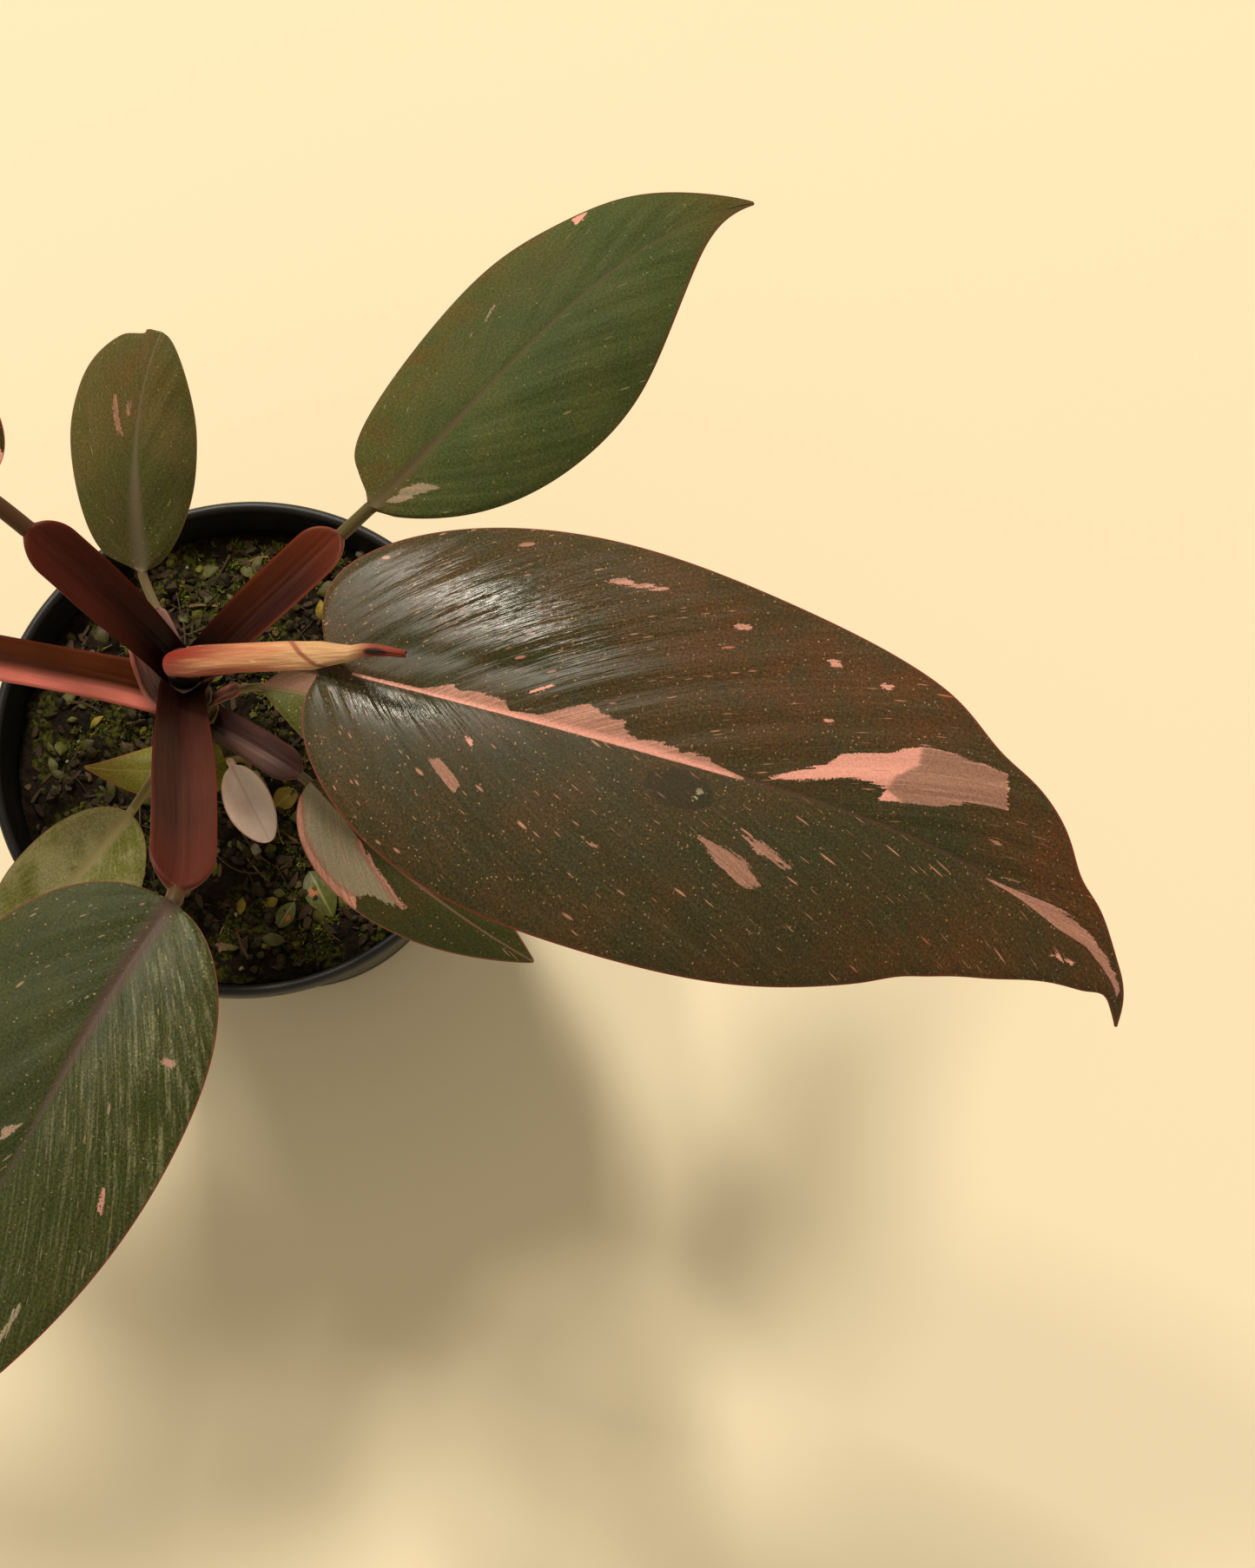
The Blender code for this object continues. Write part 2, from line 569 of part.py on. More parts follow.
def sheath_faces(sheath):
    """Upper and lower grids of a sheath: a channel or hood of varying width, its tip curled under."""
    t = np.linspace(0, 1, sheath.rows + 1)
    w = np.linspace(-1, 1, 2 * sheath.columns + 1)
    path, tangents, _ = bezier(sheath.path, t)
    roll = np.radians(sheath.twist[0] + (sheath.twist[1] - sheath.twist[0]) * t)
    side, up = frames(tangents, np.arctan2(tangents[:, 1], tangents[:, 0]), roll)
    half = np.interp(t, np.linspace(0, 1, len(sheath.widths)), sheath.widths) / 2
    curl = np.clip((t - 0.84) / 0.16, 0, 1)
    path = path + up * (sheath.tip_curl * np.sin(curl * math.pi) * 0.6)[:, None]
    bend = sheath.hood * np.ones_like(t)
    across_angle = w[None, :] * (0.9 + 0.5 * curl[:, None]) * math.pi / 2 * np.sign(sheath.hood)
    radius = half[:, None]
    y = radius * np.sin(np.abs(across_angle)) * np.sign(w)[None, :]
    z = radius * (1 - np.cos(across_angle)) * 2 * bend[:, None]
    thick = sheath.thickness / 2
    normal_y = -np.sin(across_angle) * np.abs(bend[:, None]) * 1.4
    normal_z = np.cos(across_angle) + 0.25
    length = np.hypot(normal_y, normal_z)
    normal = side[:, None, :] * (normal_y / length)[..., None] + up[:, None, :] * (normal_z / length)[..., None]
    middle = path[:, None, :] + side[:, None, :] * y[..., None] + up[:, None, :] * z[..., None]
    return middle + normal * thick, middle - normal * thick


def build():
    """Make every piece."""
    clear_scene()
    make_pot(plain_material("black nursery plastic", (0.012, 0.013, 0.015), 0.38))
    make_soil(plain_material("potting soil", (0.030, 0.022, 0.012), 0.95))
    make_stem(plain_material("stem skin", (0.070, 0.050, 0.018), 0.55))
    make_shoot(plain_material("shoot skin", (0.140, 0.110, 0.040), 0.5))
    dark = plain_material("dark leaf", GREEN_DARK, 0.25)
    green = plain_material("green leaf", GREEN_MID, 0.4)
    pale = plain_material("pale leaf", (0.30, 0.28, 0.16), 0.5)
    pink = plain_material("pink leaf", (0.60, 0.36, 0.30), 0.5)
    skins = {"leaf_front_left_pale": pale, "leaf_pale_tiny": pink, "leaf_green_tiny": green,
             "leaf_back_small": green, "leaf_inner_right": green, "leaf_lower_right": green}
    for leaf in LEAVES:
        upper, lower = leaf_faces(leaf)
        points, faces = loft(upper, lower)
        add_object(leaf.name, points, faces, skins.get(leaf.name, dark))
    dry = plain_material("dry sheath", (0.62, 0.24, 0.12), 0.6)
    young = plain_material("young sheath", (0.36, 0.14, 0.12), 0.5)
    for sheath, skin in zip(SHEATHS, (dry, young)):
        points, faces = loft(*sheath_faces(sheath))
        add_object(sheath.name, points, faces, skin)


build()
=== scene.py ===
"""Potted pink princess philodendron: finished leaves, stalks, sheaths, stem, pot, soil, floor and light.

Run with blender --background --python scene.py, or from the text editor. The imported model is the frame:
metres, +Z up, origin in the middle of the pot's underside, +X right and +Y up in the camera's picture.
Sizes of the plant are given in millimetres and degrees and are turned into metres by MM.
"""
import math
from dataclasses import dataclass

import bpy
import numpy as np
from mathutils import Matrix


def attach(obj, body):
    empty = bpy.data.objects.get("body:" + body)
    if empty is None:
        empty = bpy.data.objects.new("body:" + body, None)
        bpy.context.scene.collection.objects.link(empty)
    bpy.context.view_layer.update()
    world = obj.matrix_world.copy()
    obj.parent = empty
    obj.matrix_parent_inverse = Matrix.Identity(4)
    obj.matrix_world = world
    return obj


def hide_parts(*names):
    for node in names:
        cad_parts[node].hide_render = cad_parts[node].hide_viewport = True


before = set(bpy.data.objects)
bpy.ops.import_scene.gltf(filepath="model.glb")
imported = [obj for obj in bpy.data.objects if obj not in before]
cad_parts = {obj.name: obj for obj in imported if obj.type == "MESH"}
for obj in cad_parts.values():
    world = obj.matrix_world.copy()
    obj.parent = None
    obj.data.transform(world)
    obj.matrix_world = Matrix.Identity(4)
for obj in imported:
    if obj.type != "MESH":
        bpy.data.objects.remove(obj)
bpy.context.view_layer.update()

bl_info = {
    "name": "Potted pink princess philodendron",
    "version": (1, 0, 0),
    "blender": (4, 5, 0),
    "location": "3D View > Sidebar > Philodendron",
    "description": "Builds the leaves, sheaths, stem, pot, soil and stage of a potted philodendron",
    "category": "Object",
}

MM = 0.001

# Pot
RIM_RADIUS = 60.0
POT_HEIGHT = 110.0
FOOT_RADIUS = 42.0
POT_WALL = 1.3
POT_FLOOR = 2.0
RIM_ROLL_HEIGHT = 5.0
RIM_ROLL_WIDTH = 2.6
DRAIN_HOLES = 8
DRAIN_HOLE_RADIUS = 4.0
DRAIN_HOLE_CIRCLE = 33.0
POT_SIDES = 224
POT_SHARP_ANGLE = 32.0

# Soil
CLEARANCE = 0.3
SOIL_HEIGHT = 100.0
SOIL_RELIEF = 1.5
SOIL_SIDES = 340
SOIL_RINGS = 120

# Folded noise on the soil: size, depth and seed of each layer of crumbs
SOIL_CRUMBS = ((7.0, 0.9, 3), (3.4, 0.8, 5), (1.8, 0.55, 11), (0.95, 0.3, 17))
LATTICE = 97
LATTICE_SHIFT = (401.3, 401.7)

# Litter: how far out it lies, how far it keeps from the stem and the side shoot, and what lies in a known
# place: perlite as (x, y, radius), leaves as (name, place, length, half width, turn, share of yellow)
LITTER_REACH = 54.0
CLUMP_REACH = 53.0
STEM_ROOM = 7.5
SHOOT_ROOM = 4.5
PERLITE_PLACES = ((25.2, 49.4, 1.1), (2.3, -24.1, 1.5))
FALLEN = (
    ("fallen_green_leaf", (18.0, -34.6), 12.5, 3.6, -62.0, 0.0),
    ("fallen_green_bit", (10.0, -39.5), 7.0, 2.0, 60.0, 0.0),
    ("yellow_leaf_bit", (9.1, -11.5), 6.5, 2.6, 40.0, 1.0),
)

# Stem and side shoot
STEM_FOOT_RADIUS = 4.4
STEM_TIP_RADIUS = 3.4
STEM_TOP = 194.0
STEM_FOOT_PLACE = (-6.5, 1.0)
STEM_TOP_PLACE = (-0.4, -4.0)
STEM_SOCKET_DEPTH = 22.0
STEM_FOOT = SOIL_HEIGHT - STEM_SOCKET_DEPTH + CLEARANCE
SHOOT_RADIUS = 1.6
SHOOT_PLACE = (3.4, -9.6)
SHOOT_TOP = 117.0
OLD_JOINTS = (110.0, 121.0)
SHOOT_JOINTS = (105.5, 110.0)
JOINT_DROP = 2.4

# Leaf form
TIP_HALF_WIDTH = 0.3
RIB_DEPTH = 1.1
RIB_WIDTH = 1.4
FOLD_ROUNDING = 1.4
DROOP = 0.10
SHEATH_ROUND = 0.62
ROOT_THICKNESS = 0.72
SPINE_STEPS = 400
SPINE_OVERRUN = 0.2
ROOT_BLEND = 0.02

# The big leaf's length, a large leaf's half width and a thick neck, to which other leaves are compared
FULL_LENGTH = 174.0
FULL_HALF_WIDTH = 24.0
FULL_NECK = 3.2

# Side veins: slope away from the midrib at its base, and how much it grows over the blade's length
VEIN_SLOPE = 0.75
VEIN_SWEEP = 3.5


def rgb(red, green, blue):
    """A linear colour from 0 to 255 screen values."""
    share = np.array([red, green, blue]) / 255.0
    linear = np.where(share <= 0.04045, share / 12.92, ((share + 0.055) / 1.055) ** 2.4)
    return tuple(float(value) for value in linear)


SALMON = rgb(238, 166, 150)
MAUVE = rgb(160, 116, 98)
PALE_GREEN = rgb(146, 138, 112)

# Shared by all blades: sunlit brown, a greener tint that also paints the shadow in the big leaf's crease,
# mineral salt, warm fleck, fresh pink and wet skin
WARM_TINT = rgb(104, 50, 6)
COOL_AND_SHADOW_TINT = rgb(32, 46, 16)
SALT = rgb(196, 168, 122)
WARM_FLECK = rgb(206, 92, 48)
BRIGHT_PINK = rgb(240, 190, 166)
WET_SKIN = rgb(40, 36, 14)


class LeafSettings(bpy.types.PropertyGroup):
    """Sizes and colours that all leaves share."""

    blade_thickness: bpy.props.FloatProperty(
        name="Blade thickness", description="Thickness of a blade away from its midrib",
        default=0.0005, min=0.0002, max=0.0009, unit="LENGTH")
    rim_thickness: bpy.props.FloatProperty(
        name="Rim thickness", description="Thickness of blades and sheaths at their edge",
        default=0.0003, min=0.0001, max=0.0008, unit="LENGTH")
    vein_spacing: bpy.props.FloatProperty(
        name="Vein spacing", description="Distance between side veins along the midrib",
        default=0.0042, min=0.001, max=0.01, unit="LENGTH")
    vein_depth: bpy.props.FloatProperty(
        name="Vein depth", description="How far the side veins lie below the skin between them",
        default=0.0001, min=0.0, max=0.0004, unit="LENGTH")
    pink: bpy.props.FloatVectorProperty(
        name="Pink", description="Colour of the fresh pink marks",
        default=SALMON, min=0.0, max=1.0, subtype="COLOR")
    mauve: bpy.props.FloatVectorProperty(
        name="Mauve", description="Colour of the greyer pink marks",
        default=MAUVE, min=0.0, max=1.0, subtype="COLOR")
    pale: bpy.props.FloatVectorProperty(
        name="Pale green", description="Colour of the pale grey-green marks",
        default=PALE_GREEN, min=0.0, max=1.0, subtype="COLOR")
    raggedness: bpy.props.FloatProperty(
        name="Raggedness", description="How far the edge of a mark jumps from vein to vein",
        default=0.0005, min=0.0, max=0.004, unit="LENGTH")


class PotSettings(bpy.types.PropertyGroup):
    """Finish of the pot."""

    plastic: bpy.props.FloatVectorProperty(
        name="Plastic", description="Colour of the pot's plastic",
        default=rgb(15, 15, 15), min=0.0, max=1.0, subtype="COLOR")
    dust: bpy.props.FloatVectorProperty(
        name="Dust", description="Colour of the dried soil on the plastic",
        default=rgb(50, 44, 35), min=0.0, max=1.0, subtype="COLOR")


class SoilSettings(bpy.types.PropertyGroup):
    """What lies on the soil, and its colours."""

    seed: bpy.props.IntProperty(
        name="Seed", description="Which scatter of litter is drawn", default=7, min=0)
    bark_bits: bpy.props.IntProperty(
        name="Bark bits", description="Number of loose bits of bark", default=620, min=0, max=2000)
    twigs: bpy.props.IntProperty(
        name="Twigs", description="Number of thin twigs and root ends", default=120, min=0, max=400)
    moss_tufts: bpy.props.IntProperty(
        name="Moss tufts", description="Number of moss tufts", default=900, min=0, max=1500)
    crumbs: bpy.props.IntProperty(
        name="Crumbs", description="Number of round crumbs", default=700, min=0, max=1500)
    scraps: bpy.props.IntProperty(
        name="Scraps", description="Number of scraps of old leaves", default=110, min=0, max=400)
    perlite: bpy.props.IntProperty(
        name="Perlite", description="Number of loose grains of perlite", default=16, min=0, max=200)
    earth: bpy.props.FloatVectorProperty(
        name="Earth", description="Colour of the moist potting mix",
        default=rgb(42, 30, 12), min=0.0, max=1.0, subtype="COLOR")
    moss: bpy.props.FloatVectorProperty(
        name="Moss", description="Colour of the moss",
        default=rgb(112, 118, 22), min=0.0, max=1.0, subtype="COLOR")


class StageSettings(bpy.types.PropertyGroup):
    """Floor, light and camera."""

    floor: bpy.props.FloatVectorProperty(
        name="Floor", description="Colour of the floor",
        default=rgb(250, 236, 205), min=0.0, max=1.0, subtype="COLOR")
    key_power: bpy.props.FloatProperty(
        name="Key light", description="Power of the main light", default=505.0, min=0.0, subtype="POWER")
    gloss_power: bpy.props.FloatProperty(
        name="Gloss light", description="Power of the small light that brings out the gloss",
        default=155.0, min=0.0, subtype="POWER")
    key_size: bpy.props.FloatProperty(
        name="Key size", description="Side of the square main light", default=1.3, min=0.01, unit="LENGTH")
    fill: bpy.props.FloatProperty(
        name="Fill", description="Strength of the light from all around", default=0.42, min=0.0)
    focal: bpy.props.FloatProperty(
        name="Focal length", description="Lens of the camera in millimetres", default=58.84, min=10.0)


@dataclass
class Edge:
    """Outline of one half of a blade: where it is widest, how blunt it is, how its ends lean and curl.

    Bays are (place along the blade, length, depth), all in shares, and a bay of negative depth bulges."""

    widest: float
    blunt: float
    lean: float = 1.0
    lobe: float = 0.0
    shoulder: float = 0.0
    ripple: float = 0.0
    bays: tuple = ()


def alike(*form):
    """Both halves of a blade with one outline."""
    return Edge(*form), Edge(*form)


@dataclass
class Leaf:
    """A leaf, in millimetres and degrees. Turns are measured from +X, rises from level.

    Gloss places are ovals (along, across, half length, half width). A crease is (start, end, place across
    at its start, place across at its end, half width, depth)."""

    name: str
    root_height: float
    root_turn: float
    root_rise: float
    base: tuple
    length: float
    left: float
    right: float
    left_edge: Edge
    right_edge: Edge
    turn: tuple
    rise: tuple
    turn_bow: float = 0.0
    roll: tuple = (0.0, 0.0)
    fold: float = 9.0
    drip: float = 0.03
    ripple_height: float = 0.0
    sheath_width: float = 9.0
    sheath_share: float = 0.86
    sheath_depth: float = 2.4
    root_width: float = 6.0
    neck: float = 2.4
    grid: tuple = (70, 200, 26)
    pull: tuple = (0.4, 0.3)
    on_shoot: bool = False
    droop_kept: tuple = (1.0, 1.0)
    turn_sway: float = 0.0
    tip_turn: float = 0.0
    gloss_places: tuple = ()
    crease: tuple = ()


SMALL_GRID = (44, 96, 16)
NOTCH = ((0.972, 0.016, 0.16),)

LEAVES = [
    Leaf("leaf_right_large", 184, -8, 74, (33, -15.6, 232), 174, 40.5, 39,
         Edge(0.375, 2.10, 1.06, 0.080, -0.06, 0.07, ((0.745, 0.040, 0.055), (0.868, 0.026, 0.042))),
         Edge(0.485, 2.14, 1.48, 0.018, -0.05, 0.05,
              ((0.808, 0.022, 0.016), (0.892, 0.03, -0.022), (0.975, 0.012, 0.03))),
         (-17.7, -56), (12, -28), 21, (-4, 4), 10, 0.023, 0.9,
         5, 0.80, 1.2, 4.2, 3.6, (60, 330, 44), (0.22, 0.2), droop_kept=(0.75, 0.9), turn_sway=-4.2,
         tip_turn=-40, gloss_places=((34, 22, 38, 17), (16, -4.5, 17, 4.5)),
         crease=(4, 46, 5.6, 9.6, 2.4, 0.5)),
    Leaf("leaf_front_large", 179, -93, 76, (5.8, -59.8, 228), 130.5, 24, 29,
         *alike(0.455, 1.71, 1.36),
         (-123, -144), (8, -22), 14, (0, 0), 10, 0.018, 0.6,
         12.6, 0.965, 3, 9, 3.4, (80, 250, 34), (0.24, 0.08), droop_kept=(0.5, 0.6),
         gloss_places=((44, 16, 60, 15),)),
    Leaf("leaf_back_right", 170, 40, 76, (37, 30.6, 190), 109, 19.9, 22.3,
         Edge(0.36, 1.38, 0.66, 0.115), Edge(0.255, 1.80, 0.60, 0.025),
         (37, 24), (25, -25), 14.7, (-5, -5), 8, 0.055, 0.5,
         10.8, 0.83, 3, 8.6, 2.8, pull=(0.20, 0.15)),
    Leaf("leaf_back_left_large", 174, 134, 76, (-37.5, 24.3, 216), 118, 25, 25,
         *alike(0.44, 1.70, 1.2, 0.03),
         (152, 140), (14, -24), 0, (0, 0), 9, 0.02, 0.6,
         11.2, 0.80, 3, 8, 3.6, pull=(0.20, 0.15)),
    Leaf("leaf_left_large", 155, 190, 76, (-62, -4, 208), 112, 24, 24,
         *alike(0.44, 1.70, 1.2, 0.02),
         (184, 196), (10, -24), 0, (0, 0), 9, 0.02, 0.6,
         9.8, 0.88, 2.6, 11.6, 3.4, pull=(0.20, 0.15)),
    Leaf("leaf_back_small", 161, 106, 64, (-15, 24.7, 165), 52.3, 14.8, 11.9,
         Edge(0.51, 0.93, 0.60, 0.10, bays=NOTCH), Edge(0.57, 1.31, 1.2),
         (93, 68), (40, 5), 4.3, (0, 0), 8, 0.038, 0.3,
         3.6, 0.62, 1, 3.4, 2, SMALL_GRID, (0.22, 0.2)),
    Leaf("leaf_front_left_pale", 133, -138, 74, (-17.3, -26.9, 155), 52, 13.2, 13.2,
         *alike(0.43, 1.60, 0.91, 0.025),
         (-125.5, -135.5), (5, -20), 0, (0, 0), 8, 0.04, 0.3,
         3.6, 0.62, 1, 3.4, 2, SMALL_GRID, (0.22, 0.2)),
    Leaf("leaf_lower_right", 141, -46, 70, (20.8, -19.2, 150), 63, 12, 12,
         Edge(0.47, 1.70, 1.2), Edge(0.48, 1.74, 1.36),
         (-48, -27), (0, -20), 0, (0, 0), 8, 0.03, 0.3,
         8, 0.90, 2, 7.4, 2.2, (60, 110, 18), (0.22, 0.15)),
    Leaf("leaf_inner_right", 156, -20, 74, (13.1, -3.4, 172), 48, 12, 12,
         *alike(0.50, 1.80, 0.94),
         (-6, -36), (0, -15), 0, (0, 0), 8, 0.03, 0.3,
         3.6, 0.72, 0.8, 3.2, 1.8, SMALL_GRID, (0.22, 0.25)),
    Leaf("leaf_pale_tiny", 112, -110, 84, (1.8, -12.6, 138), 20, 4.2, 5,
         *alike(0.56, 1.26, 1.17),
         (-62, -62), (26, -20), 0, (0, 0), 8, 0.013, 0,
         1.9, 0.5, 0.2, 1.8, 1.5, (30, 56, 10), (0.35, 0.3), True),
    Leaf("leaf_green_tiny", 108, 140, 84, (-1.6, -8.8, 128), 33, 6.5, 6.4,
         *alike(0.375, 1.60, 1.25, 0.03),
         (199, 166), (22, -22), 0, (0, 0), 8, 0.05, 0,
         1.9, 0.5, 0.2, 1.8, 1.5, (30, 64, 10), (0.35, 0.4), True),
]

# Tones of the marks; the palest one serves only for painted glints
PINK, GREY_PINK, PAINTED_GLINT = 0.0, 0.5, 1.0


@dataclass
class Skin:
    """Colours and marks of one leaf. Marks are (tone, outline) with (along, across) in millimetres on the
    blade. Tints are (along, across, radius, strength). Colours of the stalk's two wings are left, right.
    A band is the half width of a soft strip of midrib colour at the blade's base, and where it ends. A wet
    spot is (along, across, half length, half width)."""

    slot: str
    blade: tuple
    mottle: tuple
    midrib: tuple
    margin: tuple
    under: tuple
    wings: tuple
    wing_rim: tuple
    groove: tuple
    marks: tuple = ()
    warm: tuple = ()
    cool_and_shadow: tuple = ()
    fleck_share: float = 0.10
    speck_share: float = 0.22
    roughness: float = 0.5
    gloss: float = 0.15
    fleck: tuple = SALMON
    strand: tuple = PALE_GREEN
    streaks: float = 0.0
    band: tuple = (0.0, 1.0)
    wet: tuple = ()
    rib_share: float = 0.6
    # How far along the stalk the painted shade of the crown reaches
    crown_shade_reach: float = 0.5
    wing_split: float = 0.0
    tooth: float = 0.85
    one_sided_sheen: bool = False


DARK = dict(
    slot="dark_leaf", blade=rgb(70, 53, 24), mottle=rgb(58, 52, 25), midrib=rgb(92, 62, 52),
    margin=rgb(122, 48, 34), under=rgb(96, 66, 48), wings=(rgb(70, 25, 12), rgb(62, 21, 8)),
    wing_rim=rgb(92, 32, 18), groove=rgb(108, 62, 52))

